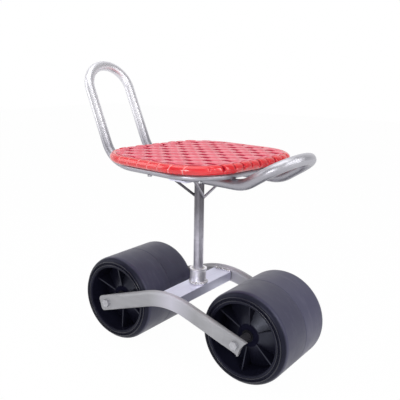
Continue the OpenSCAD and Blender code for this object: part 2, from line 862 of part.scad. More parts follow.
// Screws up through the ring tube into the rim's ledge
module panel_screws() {
    head_top = ring_z - ring_d / 2 - lie_gap;
    tip = ledge_bottom + screw_share * (ledge_top - ledge_bottom);
    color("gainsboro") on_panel(head_top - screw_head_h) screw_places(ring_inset) {
        cylinder(d = screw_head_d, h = screw_head_h);
        cylinder(d = screw_d, h = tip - head_top + screw_head_h);
    }
}

// Where strap number i of a row of straps lies, measured from the middle of the row
function strap_place(i, count, pitch) = (i - (count - 1) / 2) * pitch;

// The side view of a strap woven over and under the straps it crosses. It is level over each
// crossing and steps from one side of the weave to the other in the gaps between them.
module strap_wave(first, count, pitch, reach) {
    flat = (pitch - strap_gap) / 2;
    line = [
        for (j = [0:count - 1], end = [-1, 1])
            [
                (j == 0 && end < 0) ? -reach
                    : (j == count - 1 && end > 0) ? reach
                    : strap_place(j, count, pitch) + end * flat,
                ((j + first) % 2 == 0 ? 1 : -1) * strap_lift
            ]
    ];
    last = len(line) - 1;
    polygon(concat(
        [for (p = line) p + [0, strap_t / 2]],
        [for (k = [last:-1:0]) line[k] - [0, strap_t / 2]]
    ));
}

// The straps that run along the seat
module long_straps() {
    width = long_pitch - strap_gap;
    color("crimson") on_panel(weave_z) intersection() {
        for (i = [0:long_count - 1]) {
            translate([0, strap_place(i, long_count, long_pitch), 0]) rotate([90, 0, 0])
                linear_extrude(width, center = true)
                strap_wave(i, cross_count, cross_pitch, half_l);
        }
        linear_extrude(2 * panel_l, center = true) outline_area(field_inset);
    }
}

// The straps that run across the seat, woven through the long ones
module cross_straps() {
    width = cross_pitch - strap_gap;
    color("crimson") on_panel(weave_z) intersection() {
        for (j = [0:cross_count - 1]) {
            translate([strap_place(j, cross_count, cross_pitch), 0, 0]) rotate([90, 0, 90])
                linear_extrude(width, center = true)
                strap_wave(j + 1, long_count, long_pitch, half_pw);
        }
        linear_extrude(2 * panel_w, center = true) outline_area(field_inset);
    }
}

near_arm();
far_arm();
cross_bar();
arm_welds();
pivot_collar();
collar_weld();
upper_bush();
lower_bush();
thrust_washer();
swivel_washer();
axle_bolts();
axle_nuts();
axle_washers();
spacer_sleeves();
front_wheel_near();
front_wheel_far();
front_wheel_bushes();
rear_wheel_near();
rear_wheel_far();
rear_wheel_bushes();
seat_post();
post_plug();
swivel_bolt();
post_weld();
front_brace();
rear_brace();
top_plate();
seat_loop();
seat_ring();
ring_tabs();
seat_rim();
long_straps();
cross_straps();
panel_screws();
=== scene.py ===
"""Looks of a rolling garden seat: finishes, woven panel, bent tube, weld beads, floor and light.

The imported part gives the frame. Every length is in metres, with the origin on the floor under the
middle of the seat's overall length, +X towards the handle and +Z up. Pieces of the seat are drawn
about the swivel's axis and then turned with it.
"""
from __future__ import annotations

import json
import logging
import math
from dataclasses import dataclass, field
from enum import Enum
from typing import Callable, Iterator, Sequence

import bpy
from mathutils import Matrix, Vector, noise

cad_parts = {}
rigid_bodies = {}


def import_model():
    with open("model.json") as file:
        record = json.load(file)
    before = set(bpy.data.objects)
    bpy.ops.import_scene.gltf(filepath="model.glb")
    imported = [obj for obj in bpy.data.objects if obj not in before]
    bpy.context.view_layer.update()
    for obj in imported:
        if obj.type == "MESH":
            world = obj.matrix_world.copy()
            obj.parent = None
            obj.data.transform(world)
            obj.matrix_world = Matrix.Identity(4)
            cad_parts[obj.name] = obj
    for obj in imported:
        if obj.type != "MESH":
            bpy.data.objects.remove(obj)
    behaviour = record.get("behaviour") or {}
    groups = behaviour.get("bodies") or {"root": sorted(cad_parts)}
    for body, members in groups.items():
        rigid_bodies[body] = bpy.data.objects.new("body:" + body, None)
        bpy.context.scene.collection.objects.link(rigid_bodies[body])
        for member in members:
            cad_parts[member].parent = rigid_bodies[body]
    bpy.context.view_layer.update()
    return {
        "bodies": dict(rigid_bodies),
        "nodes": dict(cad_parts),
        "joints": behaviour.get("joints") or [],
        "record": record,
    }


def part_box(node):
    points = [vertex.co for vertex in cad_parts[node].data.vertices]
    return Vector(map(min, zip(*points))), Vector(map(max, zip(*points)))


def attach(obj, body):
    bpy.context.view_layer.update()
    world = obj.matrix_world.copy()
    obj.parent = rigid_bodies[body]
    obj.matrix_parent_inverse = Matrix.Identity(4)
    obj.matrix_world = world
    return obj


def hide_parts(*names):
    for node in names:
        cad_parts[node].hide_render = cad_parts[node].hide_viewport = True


LOG = logging.getLogger("garden_seat")
MM = 0.001
FOLD = "fold"
Colour = tuple[float, float, float]
Span = tuple[float, float]
Socket = bpy.types.NodeSocket
Path = Callable[[float], Vector]
FoldedPoint = tuple[Vector, float]


class Slot(Enum):
    """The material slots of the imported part."""

    ARM = "arm_steel"
    TUBE = "tube_steel"
    POST = "post_steel"
    WELD = "weld_bead"
    ZINC = "zinc_fastener"
    NYLON = "bush_nylon"
    WHEEL = "wheel_plastic"
    HUB_BUSH = "wheel_bush"
    RIM = "rim_plastic"
    STRAP = "strap_plastic"


class Body(Enum):
    """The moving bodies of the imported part."""

    BASE = "base"
    SEAT = "seat"
    FRONT_WHEEL = "front_wheel"
    REAR_WHEEL = "rear_wheel"


class Weave(Enum):
    """The two directions of the straps."""

    LONG = "long_straps"
    CROSS = "cross_straps"


def clamp(value: float) -> float:
    """The value, held between 0 and 1."""
    return min(1.0, max(0.0, value))


def smooth_step(share: float) -> float:
    """A share from 0 to 1 with soft ends."""
    return share * share * (3 - 2 * share)


def angles_round(count: int) -> list[float]:
    """The angles of evenly spaced points round a circle."""
    return [math.tau * k / count for k in range(count)]


def circle_point(turn: float, across: Vector, up: Vector, radius: float) -> Vector:
    """A point of a circle about zero.

    Args:
        turn: Its angle.
        across: Where the circle starts.
        up: Where it is after a quarter turn.
        radius: The circle's radius.

    Returns:
        The point.
    """
    return radius * (math.cos(turn) * across + math.sin(turn) * up)


def level_circle(radius: float, height: float) -> Path:
    """A level circle about the swivel's axis.

    Args:
        radius: Its radius.
        height: Its height.

    Returns:
        What gives the point at a share of the way round.
    """
    def point(share: float) -> Vector:
        """The point at a share of the way round."""
        turn = math.tau * share
        return Vector((radius * math.cos(turn), radius * math.sin(turn), height))

    return point


def straight_line(start: Sequence[float], end: Sequence[float]) -> Path:
    """A straight line.

    Args:
        start: Where it starts.
        end: Where it ends.

    Returns:
        What gives the point at a share of the way along.
    """
    return lambda share: Vector([a + share * (b - a) for a, b in zip(start, end)])


class NodeSheet:
    """The nodes of one material or of the world, made socket by socket."""

    def __init__(self, tree: bpy.types.NodeTree) -> None:
        """Starts with an empty tree.

        Args:
            tree: The tree to fill in.
        """
        self.tree = tree
        self.tree.nodes.clear()

    def feed(self, socket: Socket, value: object) -> None:
        """Links a socket to another, or sets it to a plain value.

        Args:
            socket: The input to fill.
            value: Another node's output, or a number or colour.
        """
        if isinstance(value, bpy.types.NodeSocket):
            self.tree.links.new(value, socket)
        else:
            socket.default_value = value

    def vector(self, operation: str, a: object, b: object = None) -> Socket:
        """One vector sum.

        Args:
            operation: Name of the vector operation.
            a: First vector.
            b: Second vector, if the operation has one.

        Returns:
            The resulting vector, or the number for LENGTH and DOT_PRODUCT.
        """
        node = self.tree.nodes.new("ShaderNodeVectorMath")
        node.operation = operation
        self.feed(node.inputs[0], a)
        if b is not None:
            self.feed(node.inputs[1], b)
        return node.outputs["Value" if operation in ("LENGTH", "DOT_PRODUCT") else "Vector"]

    def sum(self, operation: str, a: object, b: object = 0.0) -> Socket:
        """One sum of two numbers.

        Args:
            operation: Name of the operation.
            a: First number.
            b: Second number.

        Returns:
            The result.
        """
        node = self.tree.nodes.new("ShaderNodeMath")
        node.operation = operation
        self.feed(node.inputs[0], a)
        self.feed(node.inputs[1], b)
        return node.outputs[0]

    def away(self, value: object, middle: float) -> Socket:
        """How far a number lies from a middle value, either way.

        Args:
            value: The number.
            middle: The middle value.

        Returns:
            The distance.
        """
        return self.sum("ABSOLUTE", self.sum("SUBTRACT", value, middle))

    def axis(self, where: Socket, name: str) -> Socket:
        """One coordinate of a vector.

        Args:
            where: The vector.
            name: X, Y or Z.

        Returns:
            That coordinate.
        """
        node = self.tree.nodes.new("ShaderNodeSeparateXYZ")
        self.tree.links.new(where, node.inputs[0])
        return node.outputs[name]

    def ramp(self, value: Socket, span: Span, result: Span = (0.0, 1.0)) -> Socket:
        """Maps a value from one range to another, held at its ends.

        Args:
            value: The value.
            span: Where the range starts and ends.
            result: The results at its start and its end.

        Returns:
            The mapped value.
        """
        node = self.tree.nodes.new("ShaderNodeMapRange")
        self.feed(node.inputs["Value"], value)
        for name, number in zip(("From Min", "From Max", "To Min", "To Max"), (*span, *result)):
            node.inputs[name].default_value = number
        return node.outputs["Result"]

    def rays(self) -> bpy.types.Node:
        """The node that tells which kind of ray meets the surface."""
        return self.tree.nodes.new("ShaderNodeLightPath")

    def seen_share(self) -> Socket:
        """Tells rays that show a surface from those that only light it.

        Returns:
            One for rays from the camera and from mirrors and glass, and zero for the rest.
        """
        path = self.rays()
        total = path.outputs["Is Camera Ray"]
        for name in ("Is Glossy Ray", "Is Transmission Ray"):
            total = self.sum("MAXIMUM", total, path.outputs[name])
        return total

    def finish(self, share: Socket, lighting: Socket, seen: Socket, output: str) -> None:
        """Mixes what lights the seat with what is seen, into the sheet's output.

        Args:
            share: How much of what is seen.
            lighting: The shader that lights the seat or takes its shadow.
            seen: The shader that is seen.
            output: Kind of the output node.
        """
        mix = self.tree.nodes.new("ShaderNodeMixShader")
        for socket, value in zip(mix.inputs, (share, lighting, seen)):
            self.tree.links.new(value, socket)
        self.tree.links.new(mix.outputs[0], self.tree.nodes.new(output).inputs["Surface"])


class Shade(NodeSheet):
    """The nodes of one of the seat's materials."""

    def __init__(self, name: str) -> None:
        """Starts a material with one surface shader and the piece's own coordinates.

        Args:
            name: Name of the material.
        """
        self.material = bpy.data.materials.new(name)
        self.material.use_nodes = True
        super().__init__(self.material.node_tree)
        self.shader = self.tree.nodes.new("ShaderNodeBsdfPrincipled")
        output = self.tree.nodes.new("ShaderNodeOutputMaterial")
        self.tree.links.new(self.shader.outputs["BSDF"], output.inputs["Surface"])
        self.place = self.tree.nodes.new("ShaderNodeTexCoord").outputs["Object"]

    def set(self, name: str, value: object) -> None:
        """Fills in one of the shader's inputs."""
        self.feed(self.shader.inputs[name], value)

    def coat(self, colour: Socket, roughness: Socket, relief: Socket) -> None:
        """Fills in what every finish has.

        Args:
            colour: The surface's colour.
            roughness: Its roughness.
            relief: Its normal.
        """
        self.set("Base Color", colour)
        self.set("Roughness", roughness)
        self.set("Normal", relief)

    def stretched(self, scale: Sequence[float], centre: Sequence[float] = (0, 0, 0)) -> Socket:
        """The piece's coordinates, moved to a centre and scaled along each axis.

        Args:
            scale: Factors along X, Y and Z.
            centre: The point that becomes zero.

        Returns:
            The new coordinates.
        """
        moved = self.vector("SUBTRACT", self.place, tuple(centre))
        return self.vector("MULTIPLY", moved, tuple(scale))

    def clouds(self, where: Socket, scale: float, detail: float = 3.0, rough: float = 0.55) -> Socket:
        """Soft noise from 0 to 1.

        Args:
            where: Coordinates.
            scale: Number of clouds in a metre.
            detail: Layers of finer noise.
            rough: Strength of the finer layers.

        Returns:
            The noise.
        """
        node = self.tree.nodes.new("ShaderNodeTexNoise")
        self.feed(node.inputs["Vector"], where)
        node.inputs["Scale"].default_value = scale
        node.inputs["Detail"].default_value = detail
        node.inputs["Roughness"].default_value = rough
        return node.outputs["Fac"]

    def cells(self, where: Socket, scale: float) -> Socket:
        """A grey value for each cell of a crystal pattern.

        Args:
            where: Coordinates.
            scale: Number of cells in a metre.

        Returns:
            The grey value.
        """
        node = self.tree.nodes.new("ShaderNodeTexVoronoi")
        self.feed(node.inputs["Vector"], where)
        node.inputs["Scale"].default_value = scale
        grey = self.tree.nodes.new("ShaderNodeSeparateColor")
        self.tree.links.new(node.outputs["Color"], grey.inputs["Color"])
        return grey.outputs[0]

    def fold(self) -> Socket:
        """Reads the fold value that the mesh carries, which places painted shade and painted highlights.

        Returns:
            1 for full painted shade in a fold, 0 on open ground and -1 for a painted highlight on an edge
            line.
        """
        node = self.tree.nodes.new("ShaderNodeAttribute")
        node.attribute_name = FOLD
        return node.outputs["Fac"]

    def blend(self, share: object, a: object, b: object) -> Socket:
        """Mixes two colours.

        Args:
            share: How much of the second colour.
            a: First colour.
            b: Second colour.

        Returns:
            The mixed colour.
        """
        node = self.tree.nodes.new("ShaderNodeMix")
        node.data_type = "RGBA"
        self.feed(node.inputs["Factor"], share)
        for name, colour in (("A", a), ("B", b)):
            socket = next(s for s in node.inputs if s.name == name and s.type == "RGBA")
            self.feed(socket, (*colour, 1.0) if isinstance(colour, tuple) else colour)
        return next(s for s in node.outputs if s.type == "RGBA")

    def bump(self, height: Socket, depth: float, below: Socket | None = None) -> Socket:
        """Relief that only the light sees.

        Args:
            height: Height from 0 to 1.
            depth: Height of the relief in metres.
            below: An earlier relief to add this one to.

        Returns:
            The new surface normal.
        """
        node = self.tree.nodes.new("ShaderNodeBump")
        node.inputs["Strength"].default_value = 1.0
        node.inputs["Distance"].default_value = depth
        self.feed(node.inputs["Height"], height)
        if below is not None:
            self.feed(node.inputs["Normal"], below)
        return node.outputs["Normal"]


@dataclass(frozen=True)
class Finish:
    """A surface finish with its own material, made once."""

    name: str
    slot: Slot

    def draw(self, shade: Shade) -> None:
        """Fills in the material's nodes. Each finish has its own way."""
        raise NotImplementedError

    def material(self) -> bpy.types.Material:
        """Makes the finish's material at its first use.

        Returns:
            The material.
        """
        found = bpy.data.materials.get(self.name)
        if found is not None:
            return found
        shade = Shade(self.name)
        self.draw(shade)
        return shade.material


@dataclass(frozen=True)
class DrawnMetal(Finish):
    """Metal with marks along its length, cloudy patches and fine pits."""

    light: Colour = (0.70, 0.70, 0.75)
    dull: Colour = (0.52, 0.52, 0.57)
    metallic: float = 0.9
    smooth: float = 0.22
    rough: float = 0.42
    grain: tuple[float, float, float] = (12.0, 260.0, 260.0)
    grain_depth: float = 0.00002
    patch_scale: float = 26.0
    pit_scale: float = 900.0
    pit_depth: float = 0.000012
    detail: float = 4.0
    pit_detail: float = 2.0
    mark_share: float = 0.65
    patch_share: float = 0.6
    half_share: float = 0.5
    colour_span: Span = (0.36, 0.64)
    rough_span: Span = (0.34, 0.66)

    def tone(self, shade: Shade, colour: Socket) -> Socket:
        """The metal's colour over the whole piece, the same everywhere on plain metal."""
        return colour

    def draw(self, shade: Shade) -> None:
        """Fills in the metal's nodes.

        Args:
            shade: The material's nodes.
        """
        marks = shade.clouds(shade.stretched(self.grain), 1.0, self.detail, self.mark_share)
        patches = shade.clouds(shade.place, self.patch_scale, self.detail, self.patch_share)
        pits = shade.clouds(shade.place, self.pit_scale, self.pit_detail)
        marked = shade.sum("MULTIPLY", marks, self.half_share)
        worn = shade.sum("ADD", marked, shade.sum("MULTIPLY", patches, self.half_share))
        colour = shade.blend(shade.ramp(worn, self.colour_span), self.dull, self.light)
        roughness = shade.ramp(worn, self.rough_span, (self.rough, self.smooth))
        relief = shade.bump(pits, self.pit_depth, shade.bump(marks, self.grain_depth))
        shade.coat(self.tone(shade, colour), roughness, relief)
        shade.set("Metallic", self.metallic)


@dataclass(frozen=True)
class PlatedPost(DrawnMetal):
    """Mottled zinc on a seamed tube, with a dark streak down its seam, a fine ring line and painted shade
    towards its top.
    """

    axle: tuple[float, float] = (0.0, 0.0)
    seam_angle: float = math.radians(-40.0)
    seam_width: float = 0.16
    seam_wander: Span = (-0.22, 0.22)
    seam_colour: Colour = (0.25, 0.25, 0.29)
    ring_height: float = 0.258
    ring_width: float = 0.0006
    spangle_scale: float = 190.0
    spangle_share: float = 0.35
    spangle_stretch: tuple[float, float, float] = (1.0, 1.0, 0.45)
    streak_stretch: tuple[float, float, float] = (30.0, 30.0, 9.0)
    streak_span: Span = (0.2, 0.8)
    streak_gaps: Span = (0.3, 0.6)
    top_shade_colour: Colour = (0.085, 0.08, 0.09)
    top_shade_span: Span = (0.262, 0.335)
    top_shade_share: float = 0.85
    top_shade_wander: Span = (-0.02, 0.02)

    def tone(self, shade: Shade, colour: Socket) -> Socket:
        """Mottled, streaked down the seam, ringed, and darkened towards its top by painted shade.

        Args:
            shade: The material's nodes.
            colour: The plain metal's colour.

        Returns:
            The post's colour.
        """
        crystal = shade.cells(shade.stretched(self.spangle_stretch), self.spangle_scale)
        mottled = shade.blend(shade.sum("MULTIPLY", crystal, self.spangle_share), colour, self.dull)
        around = shade.stretched((1.0, 1.0, 0.0), (*self.axle, 0.0))
        turn = shade.sum("ARCTAN2", shade.axis(around, "Y"), shade.axis(around, "X"))
        streaks = shade.clouds(shade.stretched(self.streak_stretch), 1.0)
        edge = shade.sum("ADD", turn, shade.ramp(streaks, self.streak_span, self.seam_wander))
        line = shade.ramp(shade.away(edge, self.seam_angle), (self.seam_width, 0.0))
        seam = shade.sum("MULTIPLY", line, shade.ramp(streaks, self.streak_gaps))
        streaked = shade.blend(seam, mottled, self.seam_colour)
        height = shade.axis(shade.place, "Z")
        ring = shade.ramp(shade.away(height, self.ring_height), (self.ring_width, 0.0))
        ringed = shade.blend(ring, streaked, self.seam_colour)
        # Painted shade: the post darkens towards its top, standing in for the seat's shadow; the streak
        # noise makes the edge uneven.
        level = shade.sum("ADD", height, shade.ramp(streaks, self.streak_span, self.top_shade_wander))
        top_shade = shade.ramp(level, self.top_shade_span, (0.0, self.top_shade_share))
        return shade.blend(top_shade, ringed, self.top_shade_colour)


@dataclass(frozen=True)
class ShadedLowMetal(DrawnMetal):
    """Tube metal that is brighter up on the backrest than low down, by painted light and shade."""

    clear: Colour = (0.74, 0.735, 0.775)
    painted_light_span: Span = (0.452, 0.520)

    def tone(self, shade: Shade, colour: Socket) -> Socket:
        """The tube's colour, brighter with its height by painted light and shade.

        Args:
            shade: The material's nodes.
            colour: The metal's colour low down, darker there as painted shade.

        Returns:
            The tube's colour.
        """
        # Painted light and shade: the colour rises from the darker low one to the bright one with height.
        return shade.blend(shade.ramp(shade.axis(shade.place, "Z"), self.painted_light_span), colour, self.clear)


@dataclass(frozen=True)
class BowHighlightMetal(DrawnMetal):
    """Brushed metal with a painted highlight where the arm bows outwards."""

    bright: Colour = (0.52, 0.51, 0.58)
    highlight_x: float = 0.0
    highlight_reach: float = 0.062

    def tone(self, shade: Shade, colour: Socket) -> Socket:
        """The arm's colour, with a painted highlight about the bow.

        Args:
            shade: The material's nodes.
            colour: The brushed metal's colour.

        Returns:
            The arm's colour.
        """
        # Painted highlight: the colour brightens about the bow.
        off = shade.away(shade.axis(shade.place, "X"), self.highlight_x)
        return shade.blend(shade.ramp(off, (self.highlight_reach, 0.0)), colour, self.bright)


@dataclass(frozen=True)
class WeldMetal(Finish):
    """Bright lumpy weld metal with darker scale in its hollows."""

    bright: Colour = (0.86, 0.86, 0.90)
    scale_colour: Colour = (0.20, 0.19, 0.21)
    metallic: float = 0.85
    smooth: float = 0.25
    rough: float = 0.55
    lump_scale: float = 420.0
    lump_detail: float = 4.0
    lump_share: float = 0.7
    lump_depth: float = 0.0003
    speck_scale: float = 1500.0
    speck_detail: float = 2.0
    speck_depth: float = 0.00006
    colour_span: Span = (0.40, 0.58)
    rough_span: Span = (0.35, 0.65)

    def draw(self, shade: Shade) -> None:
        """Fills in the weld's nodes.

        Args:
            shade: The material's nodes.
        """
        lumps = shade.clouds(shade.place, self.lump_scale, self.lump_detail, self.lump_share)
        specks = shade.clouds(shade.place, self.speck_scale, self.speck_detail)
        colour = shade.blend(shade.ramp(lumps, self.colour_span), self.scale_colour, self.bright)
        roughness = shade.ramp(lumps, self.rough_span, (self.rough, self.smooth))
        relief = shade.bump(specks, self.speck_depth, shade.bump(lumps, self.lump_depth))
        shade.coat(colour, roughness, relief)
        shade.set("Metallic", self.metallic)


@dataclass(frozen=True)
class MouldedPlastic(Finish):
    """Moulded plastic with faint clouding, a fine grain and rubbed patches."""

    colour: Colour = (0.7, 0.7, 0.68)
    deep: Colour = (0.5, 0.5, 0.48)
    smooth: float = 0.3
    rough: float = 0.5
    patch_scale: float = 18.0
    patch_detail: float = 4.0
    patch_share: float = 0.6
    grain_scale: float = 1400.0
    grain_depth: float = 0.00001
    dent_scale: float = 60.0
    dent_depth: float = 0.0001
    fine_detail: float = 2.0
    colour_span: Span = (0.35, 0.65)
    rough_span: Span = (0.3, 0.7)
    soft_light: float = 0.0
    soft_reach: tuple[float, float, float] = (0.004, 0.001, 0.001)
    specular: float = 0.5

    def tone(self, shade: Shade, colour: Socket) -> Socket:
        """The plastic's colour over the whole piece, the same everywhere on a plain moulding."""
        return colour

    def shine(self, shade: Shade) -> object:
        """How much the plastic mirrors, the same everywhere on a plain moulding."""
        return self.specular

    def draw(self, shade: Shade) -> None:
        """Fills in the plastic's nodes.

        Args:
            shade: The material's nodes.
        """
        patches = shade.clouds(shade.place, self.patch_scale, self.patch_detail, self.patch_share)
        grain = shade.clouds(shade.place, self.grain_scale, self.fine_detail)
        dents = shade.clouds(shade.place, self.dent_scale, self.fine_detail)
        colour = shade.blend(shade.ramp(patches, self.colour_span), self.deep, self.colour)
        roughness = shade.ramp(patches, self.rough_span, (self.rough, self.smooth))
        relief = shade.bump(grain, self.grain_depth, shade.bump(dents, self.dent_depth))
        shade.coat(self.tone(shade, colour), roughness, relief)
        shade.set("Specular IOR Level", self.shine(shade))
        if self.soft_light:
            shade.set("Subsurface Weight", self.soft_light)
            shade.set("Subsurface Radius", self.soft_reach)
            shade.set("Subsurface Scale", 1.0)


@dataclass(frozen=True)
class FoldedPlastic(MouldedPlastic):
    """Plastic with painted shade, dark and dull, in its folds and a painted highlight, pale, on its edge
    lines.
    """

    fold_shade_colour: Colour = (0.20, 0.008, 0.026)
    edge_highlight_colour: Colour = (0.92, 0.42, 0.42)
    fold_shade_specular: float = 0.05
    dull_share: float = 0.7

    def tone(self, shade: Shade, colour: Socket) -> Socket:
        """The plastic's colour, with painted shade in its folds and a painted highlight on its edge lines.

        Args:
            shade: The material's nodes.
            colour: The open ground's colour.

        Returns:
            The folded plastic's colour.
        """
        fold = shade.fold()
        # Painted shade in the folds, painted highlight on the edge lines.
        deep = shade.blend(shade.ramp(fold, (0.0, 1.0)), colour, self.fold_shade_colour)
        return shade.blend(shade.ramp(fold, (0.0, -1.0)), deep, self.edge_highlight_colour)

    def shine(self, shade: Shade) -> object:
        """How much the plastic mirrors, which is little in its folds as painted shade."""
        return shade.ramp(shade.fold(), (0.0, self.dull_share), (self.specular, self.fold_shade_specular))


@dataclass(frozen=True)
class WheelPlastic(MouldedPlastic):
    """Blue-black plastic with a paler tread than faces by painted light and shade, scuffed round the tread.
    """

    axle: tuple[float, float] = (0.0, 0.0)
    tread_r: float = 99.0 * MM
    face_r: float = 96.8 * MM
    mouth_r: float = 76.5 * MM
    hub_r: float = 24.0 * MM
    mouth_blur: float = 1.0 * MM
    hub_blur: float = 2.0 * MM
    inner_specular: float = 0.5
    face_specular: float = 0.18
    sheen: Colour = (0.80, 0.84, 1.0)
    lit_tread_colour: Colour = (0.046, 0.044, 0.078)
    lit_scuff_colour: Colour = (0.070, 0.067, 0.105)
    scuff_stretch: tuple[float, float, float] = (20.0, 90.0, 20.0)
    scuff_detail: float = 5.0
    scuff_share: float = 0.7
    scuff_span: Span = (0.52, 0.75)

    def radius(self, shade: Shade) -> Socket:
        """The distance from the wheel's axle."""
        return shade.vector("LENGTH", shade.stretched((1.0, 0.0, 1.0), (self.axle[0], 0.0, self.axle[1])))

    def tone(self, shade: Shade, colour: Socket) -> Socket:
        """The wheel's colour, paler on the tread by painted light, and scuffed there.

        Args:
            shade: The material's nodes.
            colour: The faces' colour, kept near-black as painted shade.

        Returns:
            The wheel's colour.
        """
        scuffs = shade.clouds(shade.stretched(self.scuff_stretch), 1.0, self.scuff_detail, self.scuff_share)
        lit_tread = shade.blend(shade.ramp(scuffs, self.scuff_span), self.lit_tread_colour, self.lit_scuff_colour)
        # Painted light and shade: the tread, lit from above, is paler than the near-black faces; the scuffs
        # on it are wear.
        return shade.blend(shade.ramp(self.radius(shade), (self.face_r, self.tread_r)), colour, lit_tread)

    def shine(self, shade: Shade) -> object:
        """How much the wheel mirrors: most on the tread and inside the mouth, least on the hub.

        Args:
            shade: The material's nodes.

        Returns:
            The mirrored share.
        """
        shade.set("Specular Tint", (*self.sheen, 1.0))
        away = self.radius(shade)
        outer = shade.ramp(away, (self.face_r, self.tread_r), (self.face_specular, self.specular))
        inner = shade.ramp(away, (self.mouth_r, self.mouth_r - self.mouth_blur), (0.0, self.inner_specular))
        past_hub = shade.ramp(away, (self.hub_r, self.hub_r + self.hub_blur))
        return shade.sum("MULTIPLY", shade.sum("MAXIMUM", outer, inner), past_hub)


@dataclass(frozen=True)
class Finishes:
    """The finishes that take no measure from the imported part."""

    # Partly the zinc's own brightness, partly painted light: set brighter than the arms for the light on
    # the bar's top, with the light's lilac tint painted in.
    bar: DrawnMetal = DrawnMetal(
        "bar_lit_silver", Slot.ARM, light=(0.75, 0.75, 0.90), dull=(0.66, 0.66, 0.80), metallic=0.85,
        smooth=0.34, rough=0.46, grain=(60.0, 7.0, 60.0), patch_scale=14.0, grain_depth=0.000008,
    )
    # Painted light: a near-white copy of the frame's zinc steel, standing in for the strong light on the
    # collar.
    collar: DrawnMetal = DrawnMetal(
        "collar_painted_light", Slot.ARM, light=(1.0, 0.99, 1.0), dull=(0.84, 0.83, 0.90), metallic=0.85,
        smooth=0.34, rough=0.44, grain=(40.0, 40.0, 300.0), patch_scale=40.0, grain_depth=0.000008,
    )
    tube: ShadedLowMetal = ShadedLowMetal(
        "tube_zinc", Slot.TUBE, light=(0.41, 0.405, 0.445), dull=(0.36, 0.355, 0.395), metallic=0.9,
        smooth=0.38, rough=0.45, grain=(12.0, 12.0, 12.0), patch_scale=9.0, grain_depth=0.000004,
        pit_scale=160.0, pit_depth=0.000001,
    )
    # Painted shade: a near-black copy of the frame steel, for the rear brace and spacer sleeves that stand
    # in shadow.
    shaded_rod: DrawnMetal = DrawnMetal(
        "rod_painted_shade", Slot.TUBE, light=(0.16, 0.15, 0.17), dull=(0.09, 0.085, 0.10), metallic=0.7,
        smooth=0.4, rough=0.55, grain=(60.0, 60.0, 60.0), patch_scale=40.0, grain_depth=0.00001,
    )
    weld: WeldMetal = WeldMetal("weld_bright", Slot.WELD)
    zinc: DrawnMetal = DrawnMetal(
        "fastener_zinc", Slot.ZINC, light=(0.52, 0.52, 0.55), dull=(0.38, 0.38, 0.41), metallic=0.85,
        smooth=0.32, rough=0.5, grain=(200.0, 200.0, 200.0), patch_scale=120.0,
    )
    nylon: MouldedPlastic = MouldedPlastic("bush_white", Slot.NYLON, soft_light=0.15)
    hub_bush: MouldedPlastic = MouldedPlastic(
        "bush_black", Slot.HUB_BUSH, colour=(0.010, 0.010, 0.014), deep=(0.006, 0.006, 0.009),
        specular=0.08,
    )
    bead: MouldedPlastic = MouldedPlastic(
        "bead_black", Slot.WHEEL, colour=(0.012, 0.012, 0.024), deep=(0.008, 0.008, 0.018),
        smooth=0.16, rough=0.22, specular=0.42,
    )
    # Painted shade and highlight: rim and straps darken in their folds and pale on edge lines, from the
    # mesh's fold value.
    rim: FoldedPlastic = FoldedPlastic(
        "rim_red", Slot.RIM, colour=(0.68, 0.020, 0.028), deep=(0.60, 0.013, 0.020), smooth=0.11,
        rough=0.19, soft_light=0.25, specular=0.8, fold_shade_colour=(0.28, 0.006, 0.024),
    )
    strap: FoldedPlastic = FoldedPlastic(
        "strap_red", Slot.STRAP, colour=(0.72, 0.115, 0.165), deep=(0.66, 0.085, 0.130), smooth=0.28,
        rough=0.38, patch_scale=40.0, soft_light=0.1, specular=0.9, fold_shade_colour=(0.50, 0.028, 0.075),
    )


@dataclass
class MeshMaker:
    """Collects points and faces and makes one smooth object from them."""

    points: list[Vector] = field(default_factory=list)
    faces: list[tuple[int, ...]] = field(default_factory=list)
    folds: list[float] = field(default_factory=list)

    def ring(self, points: Sequence[Vector], folds: Sequence[float] = ()) -> list[int]:
        """Adds points and gives their numbers.

        Args:
            points: The points of one cross section.
            folds: How deep in a fold each point lies, if the finish asks for it.

        Returns:
            Their numbers.
        """
        first = len(self.points)
        self.points.extend(points)
        self.folds.extend(folds)
        return list(range(first, len(self.points)))

    def skin(self, rings: Sequence[Sequence[int]], closed: bool) -> None:
        """Joins cross sections into a tube, and its ends with caps if it isn't closed.

        Args:
            rings: Numbers of the points of each cross section, all alike in length.
            closed: Whether the last section joins the first.
        """
        count = len(rings[0])
        pairs = list(zip(rings, rings[1:]))
        if closed:
            pairs.append((rings[-1], rings[0]))
        for a, b in pairs:
            for k in range(count):
                n = (k + 1) % count
                self.faces.append((a[k], b[k], b[n], a[n]))
        if not closed:
            self.faces.append(tuple(rings[0]))
            self.faces.append(tuple(reversed(rings[-1])))

    def make(self, name: str, finish: Finish, sharp: float = 40.0) -> bpy.types.Object:
        """Makes the object, smooth but for its sharp edges.

        Args:
            name: Name of the piece.
            finish: Its finish.
            sharp: Edges that turn by more than this many degrees stay sharp.

        Returns:
            The new object.
        """
        mesh = bpy.data.meshes.new(name)
        mesh.from_pydata([tuple(p) for p in self.points], [], self.faces)
        mesh.validate()
        mesh.polygons.foreach_set("use_smooth", [True] * len(mesh.polygons))
        mesh.set_sharp_from_angle(angle=math.radians(sharp))
        if self.folds:
            mesh.attributes.new(FOLD, "FLOAT", "POINT").data.foreach_set("value", self.folds)
        mesh.materials.append(finish.material())
        piece = bpy.data.objects.new(name, mesh)
        bpy.context.scene.collection.objects.link(piece)
        return piece


